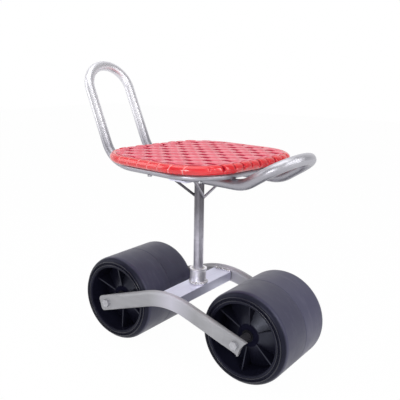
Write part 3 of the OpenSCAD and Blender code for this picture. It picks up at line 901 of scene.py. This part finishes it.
@dataclass
class Part:
    """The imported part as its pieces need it: its nodes, its swivel and its axles."""

    frame: dict
    seat_turn: float = math.radians(-7.0)

    def joint_place(self, name: str) -> Vector:
        """Where a joint's axis lies.

        Args:
            name: Name of the joint.

        Returns:
            A point on its axis.
        """
        found = next(j for j in self.frame["joints"] if j["name"] == name)
        return Vector(found["pos_m"])

    def axle(self, wheel: Body) -> Vector:
        """A point on a wheel's axle."""
        return self.joint_place(wheel.value + "_spin")

    @property
    def swivel(self) -> Vector:
        """A point of the floor under the swivel's axis."""
        place = self.joint_place("seat_swivel")
        return Vector((place.x, place.y, 0.0))

    @property
    def on_seat(self) -> Matrix:
        """Moves a piece drawn about the swivel's axis to the turned seat."""
        return Matrix.Translation(self.swivel) @ Matrix.Rotation(self.seat_turn, 4, "Z")

    @property
    def on_base(self) -> Matrix:
        """Moves a piece drawn about the swivel's axis to the base."""
        return Matrix.Translation(self.swivel)

    def dress(self, finish: Finish, *nodes: str) -> None:
        """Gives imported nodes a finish.

        Args:
            finish: The finish.
            nodes: Names of the nodes.
        """
        for name in nodes:
            slots = self.frame["nodes"][name].data.materials
            for k in range(len(slots)):
                slots[k] = finish.material()
            LOG.info("dressed %s in %s", name, finish.name)

    def add(self, maker: MeshMaker, name: str, finish: Finish, body: Body, *stands_for: str) -> None:
        """Makes a piece, lets it ride on its body and hides the nodes it stands for.

        Args:
            maker: The piece's mesh, in the frame.
            name: Name of the piece.
            finish: Its finish.
            body: The body that it rides on.
            stands_for: Nodes that it replaces.
        """
        piece = maker.make(name, finish)
        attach(piece, body.value)
        if stands_for:
            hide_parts(*stands_for)
        LOG.info("made %s: %d points, %d faces", name, len(maker.points), len(maker.faces))


@dataclass(frozen=True)
class TubeEnd:
    """One end of the seat tube: its bend out of the rails and the straight stretch after it."""

    way: int
    bend_x: float
    bend_r: float
    turn: float
    straight: float

    def heading(self, angle: float) -> tuple[Vector, Vector]:
        """The tube's direction and its upward side after part of the bend.

        Args:
            angle: How far it has turned.

        Returns:
            Both directions.
        """
        along = Vector((self.way * math.cos(angle), 0, math.sin(angle)))
        return along, Vector((-self.way * math.sin(angle), 0, math.cos(angle)))

    def middle(self, angle: float, rail_z: float) -> Vector:
        """A point midway between both rails in the bend.

        Args:
            angle: How far the tube has turned.
            rail_z: Height of the rails.

        Returns:
            The point.
        """
        x = self.bend_x + self.bend_r * math.sin(angle)
        return Vector((self.way * x, 0, rail_z + self.bend_r * (1 - math.cos(angle))))


@dataclass
class SeatTube:
    """The bent tube that makes the rails, the backrest and the handle."""

    tube_d: float = 23 * MM
    rail_gap: float = 121.4 * MM
    rail_z: float = 415.7 * MM
    handle: TubeEnd = TubeEnd(1, 151.6 * MM, 76 * MM, math.radians(31.1), 28.2 * MM)
    backrest: TubeEnd = TubeEnd(-1, 177.2 * MM, 74 * MM, math.pi / 2 - math.radians(25.4), 135.5 * MM)
    bend_steps: int = 20
    loop_steps: int = 48
    sides: int = 48

    def path(self, end: TubeEnd) -> Iterator[tuple[Vector, Vector, Vector]]:
        """Runs along one end of the tube, out along one rail and back to the other.

        Args:
            end: The end.

        Yields:
            The middle, the direction and the upward side of one cross section at a time.
        """
        half = self.rail_gap / 2
        out, up = end.heading(end.turn)
        side = Vector((0, -end.way, 0))
        angles = [end.turn * k / self.bend_steps for k in range(self.bend_steps + 1)]
        for angle in angles:
            along, upward = end.heading(angle)
            yield end.middle(angle, self.rail_z) + half * side, along, upward
        tip = end.middle(end.turn, self.rail_z) + end.straight * out
        for k in range(self.loop_steps + 1):
            a = math.pi * k / self.loop_steps
            middle = tip + half * (math.sin(a) * out + math.cos(a) * side)
            yield middle, math.cos(a) * out - math.sin(a) * side, up
        for angle in reversed(angles):
            along, upward = end.heading(angle)
            yield end.middle(angle, self.rail_z) - half * side, -along, upward

    def build(self, part: Part, finish: Finish) -> None:
        """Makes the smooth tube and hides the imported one.

        Args:
            part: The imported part.
            finish: The tube's finish.
        """
        maker = MeshMaker()
        place = part.on_seat
        rings = []
        for end in (self.handle, self.backrest):
            for middle, along, upward in self.path(end):
                across = along.cross(upward)
                rings.append(maker.ring([
                    place @ (middle + circle_point(turn, upward, across, self.tube_d / 2))
                    for turn in angles_round(self.sides)
                ]))
        maker.skin(rings, closed=True)
        part.add(maker, "seat_tube", finish, Body.SEAT, "seat_loop")


@dataclass
class WeldBeads:
    """The uneven weld beads round the collar, along the bar's ends and at the post's top."""

    bead_r: float = 2.9 * MM
    ripple: float = 0.5 * MM
    ripple_pitch: float = 3.2 * MM
    wander: float = 1.5 * MM
    collar_r: float = 18.5 * MM
    bar_top: float = 158 * MM
    bar_w: float = 50 * MM
    bar_h: float = 21 * MM
    arm_inner: float = 104 * MM
    post_r: float = 11 * MM
    plate_z: float = 400.1 * MM
    collar_out_share: float = 0.35
    collar_up_share: float = 0.3
    top_run_share: float = 0.9
    top_in_share: float = 0.3
    side_run_share: float = 0.8
    arm_out_share: float = 0.2
    post_out_share: float = 0.3
    post_down_share: float = 0.4
    bare_corner: tuple[int, int] = (1, 1)
    lump_scale: float = 140.0
    lump_place: Vector = field(default_factory=lambda: Vector((3.1, 0.7, 5.3)))
    wander_scale: float = 90.0
    wander_place: Vector = field(default_factory=lambda: Vector((9.0, 2.0, 1.0)))
    slope_share: float = 0.002
    tip_share: float = 0.35
    tip_growth: float = 6.0
    steep_share: float = 0.9
    sides: int = 12
    step: float = 0.7 * MM

    def bead(self, maker: MeshMaker, path: Path, length: float, place: Matrix, closed: bool) -> None:
        """Sweeps one rippled bead along a path.

        Args:
            maker: The mesh to add it to.
            path: The point at a share of the path from 0 to 1.
            length: Length of the path.
            place: Moves the bead to the frame.
            closed: Whether the path closes on itself.
        """
        count = max(8, round(length / self.step))
        rings = []
        for i in range(count if closed else count + 1):
            share = i / count
            here = path(share)
            along = (path(share + self.slope_share) - path(share - self.slope_share)).normalized()
            steep = abs(along.z) > self.steep_share
            side = (along.orthogonal() if steep else along.cross(Vector((0, 0, 1)))).normalized()
            up = side.cross(along)
            ripple = abs(math.sin(math.pi * share * length / self.ripple_pitch))
            lump = noise.noise(here * self.lump_scale + self.lump_place)
            r = self.bead_r + self.ripple * ripple + self.wander * lump
            if not closed:
                r *= min(1.0, self.tip_share + self.tip_growth * min(share, 1 - share))
            shift = self.wander * noise.noise(here * self.wander_scale + self.wander_place)
            middle = here + side * shift
            rings.append(maker.ring([
                place @ (middle + circle_point(turn, side, up, r)) for turn in angles_round(self.sides)
            ]))
        maker.skin(rings, closed)

    def circle(self, radius: float, out_share: float, height: float, place: Matrix) -> MeshMaker:
        """Makes a bead round a tube.

        Args:
            radius: Radius of the tube.
            out_share: How much of its own radius the bead lies outside it.
            height: The bead's height.
            place: Moves the bead to the frame.

        Returns:
            The bead's mesh.
        """
        maker = MeshMaker()
        path = level_circle(radius + self.bead_r * out_share, height)
        self.bead(maker, path, math.tau * radius, place, True)
        return maker

    def arm_ends(self, maker: MeshMaker, hand: int, place: Matrix) -> None:
        """Adds the beads between the bar's end and one arm, on its top and up its sides.

        The corner that is named bare has none.

        Args:
            maker: The mesh to add them to.
            hand: 1 at the far arm and -1 at the near one.
            place: Moves the beads to the frame.
        """
        half_run = self.bar_w * self.top_run_share / 2
        y = hand * (self.arm_inner - self.bead_r * self.top_in_share)
        z = self.bar_top + self.bead_r * self.arm_out_share
        self.bead(maker, straight_line((-half_run, y, z), (half_run, y, z)), self.bar_w, place, False)
        for end in (-1, 1):
            if (hand, end) == self.bare_corner:
                continue
            x = end * (self.bar_w / 2 + self.bead_r * self.arm_out_share)
            y = hand * (self.arm_inner - self.bead_r * self.arm_out_share)
            rise = self.bar_h * self.side_run_share
            side = straight_line((x, y, self.bar_top - rise), (x, y, self.bar_top))
            self.bead(maker, side, rise, place, False)

    def build(self, part: Part, finish: Finish) -> None:
        """Makes all the beads.

        Args:
            part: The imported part.
            finish: The weld's finish.
        """
        collar_z = self.bar_top + self.bead_r * self.collar_up_share
        collar = self.circle(self.collar_r, self.collar_out_share, collar_z, part.on_base)
        part.add(collar, "collar_bead", finish, Body.BASE, "collar_weld")
        arms = MeshMaker()
        for hand in (-1, 1):
            self.arm_ends(arms, hand, part.on_base)
        part.add(arms, "arm_beads", finish, Body.BASE, "arm_welds")
        post_z = self.plate_z - self.bead_r * self.post_down_share
        post = self.circle(self.post_r, self.post_out_share, post_z, part.on_seat)
        part.add(post, "post_bead", finish, Body.SEAT, "post_weld")


@dataclass(frozen=True)
class StrapShape:
    """How the straps of one direction are shaped, and where shade is painted on them towards a fold."""

    gap: float
    wave: float
    crown: float
    edge_t: float
    fold_low: float
    fold_high: float
    level_share: float
    edge_share: float = 0.86
    pillow_share: float = 0.25

    def fold(self, height: float, edge: float) -> float:
        """How much painted shade a point of the strap's top gets, from how deep in a fold it lies.

        Args:
            height: Its height above the middle of the weave.
            edge: Its distance from the strap's middle, 1 at the edge.

        Returns:
            From 0 on open ground to 1 in a fold.
        """
        # Painted shade: low parts of the strap and its edges are darkened, where shade falls between the
        # crossing straps.
        deep = clamp((self.fold_high - height) / (self.fold_high - self.fold_low))
        return max(deep, clamp((edge - self.edge_share) / (1 - self.edge_share)))

    def wave_height(self, step: float) -> float:
        """Height of the strap's middle: level over each crossing, steep between two.

        Args:
            step: Place along the strap in crossings, even numbers being the ones it goes over.

        Returns:
            The height above the middle of the weave.
        """
        crossing = round(step)
        away = 2 * abs(step - crossing)
        dive = clamp((away - self.level_share) / (1 - self.level_share))
        level = (1 - self.pillow_share * away * away) * (1 - smooth_step(dive))
        return (1 if crossing % 2 == 0 else -1) * self.wave * level


@dataclass(frozen=True)
class StrapRow:
    """All straps of one direction: how many, what they cross and how far they run."""

    weave: Weave
    shape: StrapShape
    count: int
    crossed: int
    pitch: float
    crossed_pitch: float
    half_run: float
    half_side: float
    first_over: int
    run_shift: float
    side_shift: float

    def middle(self, index: int) -> float:
        """Where one strap lies across the row."""
        return (index - (self.count - 1) / 2) * self.pitch + self.side_shift

    def phase(self, run: float) -> float:
        """How many crossings lie before a place along a strap."""
        start = self.run_shift - (self.crossed - 1) / 2 * self.crossed_pitch
        return (run - start) / self.crossed_pitch

    def plan(self, run: float, across: float) -> tuple[float, float]:
        """The X and Y of a place on a strap."""
        return (run, across) if self.weave is Weave.LONG else (across, run)


@dataclass
class WovenPanel:
    """The woven red panel: flat straps across, arched straps along over them, and a rolled rim."""

    panel_l: float = 308 * MM
    panel_w: float = 332 * MM
    panel_ahead: float = 2 * MM
    weave_shift: float = 7 * MM
    rim_straight: float = 138 * MM
    rim_r: float = 9.1 * MM
    rim_z: float = 448.95 * MM
    weave_z: float = 454.35 * MM
    long_pitch: float = 25.9 * MM
    cross_pitch: float = 28.9 * MM
    long_count: int = 12
    cross_count: int = 9
    long_shape: StrapShape = StrapShape(
        gap=2.4 * MM, wave=3.0 * MM, crown=2.2 * MM, edge_t=2.0 * MM,
        fold_low=-0.2 * MM, fold_high=2.2 * MM, level_share=0.70,
    )
    cross_shape: StrapShape = StrapShape(
        gap=5.0 * MM, wave=1.0 * MM, crown=1.0 * MM, edge_t=2.2 * MM,
        fold_low=-1.0 * MM, fold_high=0.6 * MM, level_share=0.6,
    )
    width_shares: tuple[float, ...] = (-1, -0.93, -0.8, -0.6, -0.35, 0, 0.35, 0.6, 0.8, 0.93, 1)
    crossing_steps: int = 16
    settle_share: float = 0.55
    high_end: float = 2.4 * MM
    low_end: float = 1.8 * MM
    crown_power: float = 2.6
    low_crown_share: float = 0.65
    under_crown_share: float = 0.15
    dent_depth: float = 0.25 * MM
    dent_scale: float = 22.0
    dent_step: float = 7.7
    ledge_start: float = 3 * MM
    ledge_w: float = 33 * MM
    ledge_top: float = 451.6 * MM
    ledge_bottom: float = 439.9 * MM
    ledge_edge: float = 1 * MM
    ledge_shade: float = 0.5
    rim_sink: float = 4.2 * MM
    front_groove: float = 3.4 * MM
    front_groove_w: float = 2.0 * MM
    front_from: float = 0.80
    long_arc_end: float = -0.45
    short_arc_end: float = -0.15
    arc_fade: float = 0.35
    finger: float = 1.3 * MM
    finger_step: float = 0.4 * MM
    finger_edge: float = 2 * MM
    side_groove: float = 0.7 * MM
    side_groove_w: float = 0.8 * MM
    side_from: float = 0.76
    side_skew: float = 6 * MM
    side_highlight: float = 0.8
    side_arc: Span = (-1.2, 1.45)
    side_fades: Span = (0.4, 0.2)
    skew_arc: Span = (-1.0, 1.2)
    side_blend: float = 0.06
    rim_step: float = 0.9 * MM
    rim_sides: int = 34

    @property
    def corner_r(self) -> float:
        """Radius of the panel's corners."""
        return (self.panel_w - self.rim_straight) / 2

    def row(self, weave: Weave) -> StrapRow:
        """The straps of one direction.

        Args:
            weave: The direction.

        Returns:
            The row.
        """
        half_l, half_w = self.panel_l / 2, self.panel_w / 2
        if weave is Weave.LONG:
            return StrapRow(
                weave, self.long_shape, self.long_count, self.cross_count, self.long_pitch,
                self.cross_pitch, half_l, half_w, 0, self.weave_shift, 0.0,
            )
        return StrapRow(
            weave, self.cross_shape, self.cross_count, self.long_count, self.cross_pitch,
            self.long_pitch, half_w, half_l, 1, 0.0, self.weave_shift,
        )

    def reach(self, across: float, row: StrapRow) -> float:
        """How far a line along a row's straps runs from the middle to where it sinks in the rim.

        Args:
            across: The line's distance from the middle.
            row: The row.

        Returns:
            The distance from the middle to its end.
        """
        r = self.corner_r - self.rim_sink
        past = abs(across) - (row.half_side - self.corner_r)
        if past <= 0:
            return row.half_run - self.rim_sink
        if past >= r:
            return row.half_run - self.corner_r
        return row.half_run - self.corner_r + math.sqrt(r * r - past * past)

    def strap_point(self, row: StrapRow, index: int, run: float, v: float, face: int) -> FoldedPoint:
        """One point of a strap.

        Args:
            row: The strap's row.
            index: Its number in its row.
            run: Place along the strap, from -1 to 1.
            v: Place across it, from -1 to 1.
            face: 1 on its top and -1 underneath.

        Returns:
            The point about the swivel's axis, and its fold value.
        """
        shape = row.shape
        first = index + row.first_over
        across = row.middle(index) + v * (row.pitch - shape.gap) / 2
        limit = self.reach(across, row)
        x = run * limit
        settle = smooth_step(max(0.0, 1 - (limit - abs(x)) / (self.settle_share * row.crossed_pitch)))
        last = (row.crossed - 1 if x > 0 else 0) + first
        rest = self.high_end if last % 2 == 0 else self.low_end
        wave = shape.wave_height(row.phase(x) + first) * (1 - settle) + rest * settle
        bulge = shape.crown * (1 - abs(v) ** self.crown_power)
        spot = Vector((x * self.dent_scale, across * self.dent_scale, self.dent_step * index))
        height = wave + self.dent_depth * noise.noise(spot)
        if face > 0:
            height += shape.edge_t / 2 + bulge * (1.0 if wave > 0 else self.low_crown_share)
            fold = shape.fold(height, abs(v))
        else:
            height -= shape.edge_t / 2 + self.under_crown_share * bulge
            # Painted shade: the straps' undersides get full fold darkening.
            fold = 1.0
        ahead, aside = row.plan(x, across)
        return Vector((ahead + self.panel_ahead, aside, self.weave_z + height)), fold

    def straps(self, part: Part, finish: Finish, weave: Weave) -> None:
        """Makes all straps of one direction.

        Args:
            part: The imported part.
            finish: The straps' finish.
            weave: Their direction.
        """
        maker = MeshMaker()
        row = self.row(weave)
        place = part.on_seat
        steps = self.crossing_steps * (row.crossed + 2)
        for index in range(row.count):
            rings = []
            for i in range(steps + 1):
                run = 2 * i / steps - 1
                section = [
                    self.strap_point(row, index, run, v, face)
                    for face in (1, -1)
                    for v in self.width_shares[::face]
                ]
                points, folds = zip(*section)
                rings.append(maker.ring([place @ point for point in points], folds))
            maker.skin(rings, closed=False)
        part.add(maker, "woven_" + weave.value, finish, Body.SEAT, weave.value)

    def outline(self) -> Iterator[tuple[Vector, Vector]]:
        """Runs round the middle of the rim.

        Yields:
            One point at a time with the outward direction at it.
        """
        side_x = self.panel_l / 2 - self.corner_r
        side_y = self.panel_w / 2 - self.corner_r
        corners = ((1, 1, 0), (-1, 1, 90), (-1, -1, 180), (1, -1, 270))
        arc = round(math.pi / 2 * self.corner_r / self.rim_step)
        for cx, cy, begin in corners:
            centre = Vector((cx * side_x, cy * side_y, 0))
            for k in range(arc):
                a = math.radians(begin + 90 * k / arc)
                out = Vector((math.cos(a), math.sin(a), 0))
                yield centre + self.corner_r * out, out
            a = math.radians(begin + 90)
            out = Vector((math.cos(a), math.sin(a), 0))
            ahead = Vector((-math.sin(a), math.cos(a), 0))
            length = 2 * (side_y if begin % 180 else side_x)
            straight = max(1, round(length / self.rim_step))
            for k in range(straight):
                yield centre + self.corner_r * out + ahead * (length * k / straight), out

    def front_fold(self, y: float, turn: float) -> tuple[float, float]:
        """The arc that a strap along the seat leaves where it runs over the rim's front or back.

        Args:
            y: Place across the seat.
            turn: Angle round the roll.

        Returns:
            How far the rim stands out, and its fold value, which paints shade in the groove.
        """
        place = y / self.long_pitch + self.long_count / 2
        gap = abs(place - round(place)) * self.long_pitch
        arc_end = self.long_arc_end if round(place) % 2 == 0 else self.short_arc_end
        fade = clamp((turn - arc_end) / self.arc_fade)
        near = math.exp(-((gap / self.front_groove_w) ** 2))
        swell = self.finger * (1 - (1 - min(1.0, gap / (self.long_pitch / 2))) ** 3)
        step = self.finger_step * min(1.0, gap / self.finger_edge)
        swell += step if math.floor(place) % 2 == 0 else -step
        # Painted shade: the fold value darkens the groove between the straps.
        return fade * (swell - (self.front_groove + self.finger) * near), fade * near

    def side_fold(self, x: float, turn: float) -> tuple[float, float]:
        """The slanting groove between two straps that run over the rim's side, with a painted highlight
        along it.

        Args:
            x: Place along the seat.
            turn: Angle round the roll.

        Returns:
            How far the rim stands out, and its fold value, negative for the painted highlight.
        """
        skew_low, skew_high = self.skew_arc
        slant = self.side_skew * (skew_high - turn) / (skew_high - skew_low)
        place = (x - self.weave_shift + slant) / self.cross_pitch + self.cross_count / 2
        gap = abs(place - round(place)) * self.cross_pitch
        low, high = self.side_arc
        low_fade, high_fade = self.side_fades
        fade = clamp((turn - low) / low_fade) * clamp((high - turn) / high_fade)
        near = math.exp(-((gap / self.side_groove_w) ** 2))
        # Painted highlight: a negative fold value pales the groove's line.
        return -fade * self.side_groove * near, -fade * near * self.side_highlight

    def groove(self, point: Vector, out: Vector, turn: float) -> tuple[float, float]:
        """How far the rim stands out or in where the straps run over it, and its fold value.

        Args:
            point: The surface point about the panel's middle.
            out: The outline's outward direction there.
            turn: Angle round the roll, a quarter turn at its top and zero at its outer side.

        Returns:
            The distance along the roll's radius, and the fold value there.
        """
        front = clamp((abs(out.x) - self.front_from) / self.side_blend)
        side = clamp((abs(out.y) - self.side_from) / self.side_blend)
        front_depth, front_value = self.front_fold(point.y, turn)
        side_depth, side_value = self.side_fold(point.x, turn)
        return front * front_depth + side * side_depth, front * front_value + side * side_value

    def rim(self, part: Part, finish: Finish) -> None:
        """Makes the rolled rim with its inner ledge.

        Args:
            part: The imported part.
            finish: The rim's finish.
        """
        inner = -self.ledge_start - self.ledge_w
        edge = self.ledge_edge
        top, bottom = self.ledge_top - self.rim_z, self.ledge_bottom - self.rim_z
        start = math.pi - math.asin(top / self.rim_r)
        end = -math.pi / 2 - math.acos(min(1.0, -bottom / self.rim_r))
        ledge = ((inner + edge, bottom), (inner, bottom + edge), (inner, top - edge), (inner + edge, top))
        place = part.on_seat
        shift = Vector((self.panel_ahead, 0, self.rim_z))
        maker = MeshMaker()
        rings = []
        for middle, out in self.outline():
            section = []
            folds = []
            for k in range(self.rim_sides + 1):
                turn = start + (end - start) * k / self.rim_sides
                spot = middle + out * (self.rim_r * math.cos(turn))
                depth, fold = self.groove(spot, out, turn)
                r = self.rim_r + depth
                section.append(middle + out * (r * math.cos(turn)) + Vector((0, 0, r * math.sin(turn))))
                folds.append(fold)
            for u, w in ledge:
                section.append(middle + out * u + Vector((0, 0, w)))
                # Painted shade: the ledge under the rim is half darkened.
                folds.append(self.ledge_shade)
            rings.append(maker.ring([place @ (point + shift) for point in section], folds))
        maker.skin(rings, closed=True)
        part.add(maker, "rolled_rim", finish, Body.SEAT, "seat_rim")

    def build(self, part: Part, finishes: Finishes) -> None:
        """Makes the whole panel.

        Args:
            part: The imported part.
            finishes: The seat's finishes.
        """
        for weave in Weave:
            self.straps(part, finishes.strap, weave)
        self.rim(part, finishes.rim)


@dataclass
class Wheels:
    """The two drum wheels, dressed each about its own axle."""

    # Painted light: these tread colours are paler than the faces for the light from above; their scuff
    # noise is wear.
    lit_tread_colour: Colour = (0.042, 0.040, 0.072)
    lit_scuff_colour: Colour = (0.064, 0.061, 0.098)
    front_far_light_share: float = 1.35
    bead_radii: tuple[float, float] = (82.0 * MM, 89.5 * MM)
    bead_r: float = 1.2 * MM
    bead_sink: float = 0.4 * MM
    bead_steps: int = 160
    bead_sides: int = 12

    def shell_finish(self, part: Part, wheel: Body, shell: str, share: float) -> WheelPlastic:
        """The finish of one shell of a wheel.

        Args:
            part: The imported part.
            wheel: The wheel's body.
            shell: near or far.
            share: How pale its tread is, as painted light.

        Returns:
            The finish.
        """
        axle = part.axle(wheel)
        return WheelPlastic(
            f"{wheel.value}_{shell}_black", Slot.WHEEL, colour=(0.010, 0.010, 0.022),
            deep=(0.006, 0.006, 0.014), smooth=0.34, rough=0.48, specular=0.44, grain_scale=900.0,
            dent_scale=30.0, dent_depth=0.00025, axle=(axle.x, axle.z),
            lit_tread_colour=tuple(share * c for c in self.lit_tread_colour),
            lit_scuff_colour=tuple(share * c for c in self.lit_scuff_colour),
        )

    def beads(self, part: Part, finish: Finish, body: Body) -> None:
        """Adds the two moulded beads round each face of one wheel.

        Args:
            part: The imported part.
            finish: The beads' finish.
            body: The wheel's body.
        """
        axle = part.axle(body)
        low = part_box(body.value + "_near")[0][1]
        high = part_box(body.value + "_far")[1][1]
        side = Vector((0, 1, 0))
        maker = MeshMaker()
        for face in (low + self.bead_sink, high - self.bead_sink):
            for radius in self.bead_radii:
                rings = []
                for around in angles_round(self.bead_steps):
                    spoke = Vector((math.cos(around), 0, math.sin(around)))
                    middle = Vector((axle.x, face, axle.z)) + radius * spoke
                    rings.append(maker.ring([
                        middle + circle_point(turn, spoke, side, self.bead_r)
                        for turn in angles_round(self.bead_sides)
                    ]))
                maker.skin(rings, closed=True)
        part.add(maker, body.value + "_beads", finish, body)

    def build(self, part: Part, finishes: Finishes) -> None:
        """Dresses both wheels and their bushes.

        Args:
            part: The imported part.
            finishes: The seat's finishes.
        """
        # Painted light: the front wheel's far shell gets a paler tread than its near one.
        for wheel, far_share in ((Body.FRONT_WHEEL, self.front_far_light_share), (Body.REAR_WHEEL, 1.0)):
            for shell, share in (("near", 1.0), ("far", far_share)):
                part.dress(self.shell_finish(part, wheel, shell, share), f"{wheel.value}_{shell}")
            part.dress(finishes.hub_bush, wheel.value + "_bushes")
            self.beads(part, finishes.bead, wheel)


@dataclass
class Chassis:
    """The arms, the cross bar, the collar and what the wheels turn on."""

    highlight_ahead: float = 18 * MM

    def build(self, part: Part, finishes: Finishes) -> None:
        """Dresses the base's metal and bushes.

        Args:
            part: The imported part.
            finishes: The seat's finishes.
        """
        # Painted highlight: the arm's colour brightens about a point just ahead of the swivel, where the
        # arm bows out.
        arm = BowHighlightMetal(
            "arm_silver", Slot.ARM, light=(0.345, 0.345, 0.365), dull=(0.30, 0.30, 0.318), metallic=0.45,
            smooth=0.42, rough=0.56, grain=(7.0, 90.0, 90.0), patch_scale=12.0, grain_depth=0.000008,
            highlight_x=part.swivel.x + self.highlight_ahead,
        )
        part.dress(arm, "near_arm", "far_arm")
        part.dress(finishes.bar, "cross_bar")
        part.dress(finishes.collar, "pivot_collar")
        part.dress(finishes.nylon, "upper_bush", "lower_bush", "thrust_washer", "swivel_washer")
        part.dress(finishes.zinc, "axle_bolts", "axle_nuts", "axle_washers", "swivel_bolt", "panel_screws")
        # Painted shade: the zinc spacer sleeves are dressed near-black for the shade in the hubs.
        part.dress(finishes.shaded_rod, "spacer_sleeves")


@dataclass
class SeatFrame:
    """The post, braces, plate and ring tube under the panel."""

    def build(self, part: Part, finishes: Finishes) -> None:
        """Dresses the seat's metal.

        Args:
            part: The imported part.
            finishes: The seat's finishes.
        """
        post = PlatedPost(
            "post_mottled", Slot.POST, light=(0.58, 0.57, 0.64), dull=(0.34, 0.33, 0.39), metallic=0.8,
            smooth=0.36, rough=0.5, grain=(150.0, 150.0, 16.0), patch_scale=70.0,
            axle=(part.swivel.x, part.swivel.y),
        )
        part.dress(post, "seat_post")
        part.dress(finishes.bar, "top_plate", "post_plug")
        part.dress(finishes.tube, "front_brace", "seat_ring", "ring_tabs")
        # Painted shade: the rear brace, steel like the front one, is dressed near-black for the shadow it
        # stands in.
        part.dress(finishes.shaded_rod, "rear_brace")


@dataclass(frozen=True)
class Lamp:
    """One soft rectangular lamp that points at the seat."""

    name: str
    azimuth: float
    height: float
    distance: float
    width: float
    length: float
    watts: float

    def build(self, target: Vector) -> None:
        """Puts the lamp up.

        Args:
            target: What it points at.
        """
        data = bpy.data.lights.new(self.name, "AREA")
        data.shape = "RECTANGLE"
        data.size, data.size_y = self.width, self.length
        data.energy = self.watts
        lamp = bpy.data.objects.new(self.name, data)
        bpy.context.scene.collection.objects.link(lamp)
        a = math.radians(self.azimuth)
        away = Vector((self.distance * math.sin(a), -self.distance * math.cos(a), self.height))
        lamp.location = target + away
        lamp.rotation_mode = "QUATERNION"
        lamp.rotation_quaternion = (target - lamp.location).to_track_quat("-Z", "Y")


@dataclass
class Studio:
    """The camera, the pale floor and the soft light."""

    eye: Vector = field(default_factory=lambda: Vector((0.77152, -1.03744, 0.64476)))
    target: Vector = field(default_factory=lambda: Vector((0.03267, 0.0, 0.3496)))
    roll: float = math.radians(0.835)
    focal_px: float = 589.65
    image_px: float = 400.0
    sensor: float = 36.0
    clip: Span = (0.05, 50.0)
    floor_half: float = 6.0
    floor_colour: Colour = (0.82, 0.82, 0.84)
    floor_glow: float = 0.985
    ambient: float = 0.45
    room_front: float = 0.60
    room_front_span: Span = (-0.45, -0.85)
    room_side: float = 0.30
    room_side_span: Span = (0.15, 0.6)
    lamps: tuple[Lamp, ...] = (
        Lamp("overhead", -20.0, 1.7, 0.5, 1.8, 1.4, 17.0),
        Lamp("right_strip", 88.0, 0.75, 1.5, 0.28, 1.5, 7.0),
        Lamp("front_right_strip", 62.0, 0.85, 1.6, 0.22, 1.5, 6.5),
        Lamp("left_panel", -55.0, 0.6, 1.8, 0.7, 1.4, 7.5),
        Lamp("low_front_panel", 11.0, 0.15, 1.5, 0.35, 0.35, 6.0),
    )

    def build_camera(self) -> None:
        """Puts the camera where the photograph was taken."""
        forward = (self.target - self.eye).normalized()
        right = forward.cross(Vector((0, 0, 1))).normalized()
        up = right.cross(forward)
        turned_right = right * math.cos(self.roll) + up * math.sin(self.roll)
        turned_up = up * math.cos(self.roll) - right * math.sin(self.roll)
        data = bpy.data.cameras.new("photo_camera")
        data.sensor_width = self.sensor
        data.lens = self.focal_px / self.image_px * self.sensor
        data.clip_start, data.clip_end = self.clip
        camera = bpy.data.objects.new("photo_camera", data)
        bpy.context.scene.collection.objects.link(camera)
        turn = Matrix((turned_right, turned_up, -forward)).transposed().to_4x4()
        camera.matrix_world = Matrix.Translation(self.eye) @ turn
        bpy.context.scene.camera = camera

    def build_floor(self) -> None:
        """Lays the pale floor, which shows white and keeps a soft shadow."""
        mesh = bpy.data.meshes.new("floor")
        h = self.floor_half
        mesh.from_pydata([(-h, -h, 0), (h, -h, 0), (h, h, 0), (-h, h, 0)], [], [(0, 1, 2, 3)])
        floor = bpy.data.objects.new("floor", mesh)
        bpy.context.scene.collection.objects.link(floor)
        material = bpy.data.materials.new("floor_white")
        material.use_nodes = True
        sheet = NodeSheet(material.node_tree)
        matt = sheet.tree.nodes.new("ShaderNodeBsdfDiffuse")
        matt.inputs["Color"].default_value = (*self.floor_colour, 1.0)
        glow = sheet.tree.nodes.new("ShaderNodeEmission")
        share = sheet.sum("MULTIPLY", sheet.seen_share(), self.floor_glow)
        sheet.finish(share, matt.outputs[0], glow.outputs[0], "ShaderNodeOutputMaterial")
        mesh.materials.append(material)

    def build_world(self) -> None:
        """Makes a soft room: white behind the seat, dim on the camera's side, white to the camera."""
        world = bpy.data.worlds.new("soft_room")
        bpy.context.scene.world = world
        world.use_nodes = True
        sheet = NodeSheet(world.node_tree)
        toward = self.target - self.eye
        toward.z = 0.0
        coords = sheet.tree.nodes.new("ShaderNodeTexCoord")
        facing = sheet.vector("DOT_PRODUCT", coords.outputs["Generated"], tuple(toward.normalized()))
        behind = sheet.ramp(facing, self.room_side_span, (self.room_side, 1.0))
        ahead = sheet.ramp(facing, self.room_front_span, (0.0, self.room_front))
        room = sheet.sum("MAXIMUM", behind, ahead)
        level = sheet.sum("MAXIMUM", sheet.rays().outputs["Is Camera Ray"], room)
        lights = []
        for strength in (self.ambient, level):
            light = sheet.tree.nodes.new("ShaderNodeBackground")
            light.inputs["Color"].default_value = (1.0, 1.0, 1.0, 1.0)
            sheet.feed(light.inputs["Strength"], strength)
            lights.append(light.outputs[0])
        sheet.finish(sheet.seen_share(), *lights, "ShaderNodeOutputWorld")

    def build(self) -> None:
        """Sets up the camera, floor, room and lamps."""
        bpy.context.scene.view_settings.view_transform = "Standard"
        self.build_camera()
        self.build_floor()
        self.build_world()
        for lamp in self.lamps:
            lamp.build(self.target)
        LOG.info("studio is up with %d lamps", len(self.lamps))


def main() -> None:
    """Builds the studio and dresses the seat, piece by piece."""
    logging.basicConfig(level=logging.INFO, format="%(message)s")
    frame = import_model()
    part = Part(frame)
    finishes = Finishes()
    Studio().build()
    Wheels().build(part, finishes)
    Chassis().build(part, finishes)
    SeatFrame().build(part, finishes)
    SeatTube().build(part, finishes.tube)
    WeldBeads().build(part, finishes.weld)
    WovenPanel().build(part, finishes)


if __name__ == "__main__":
    main()
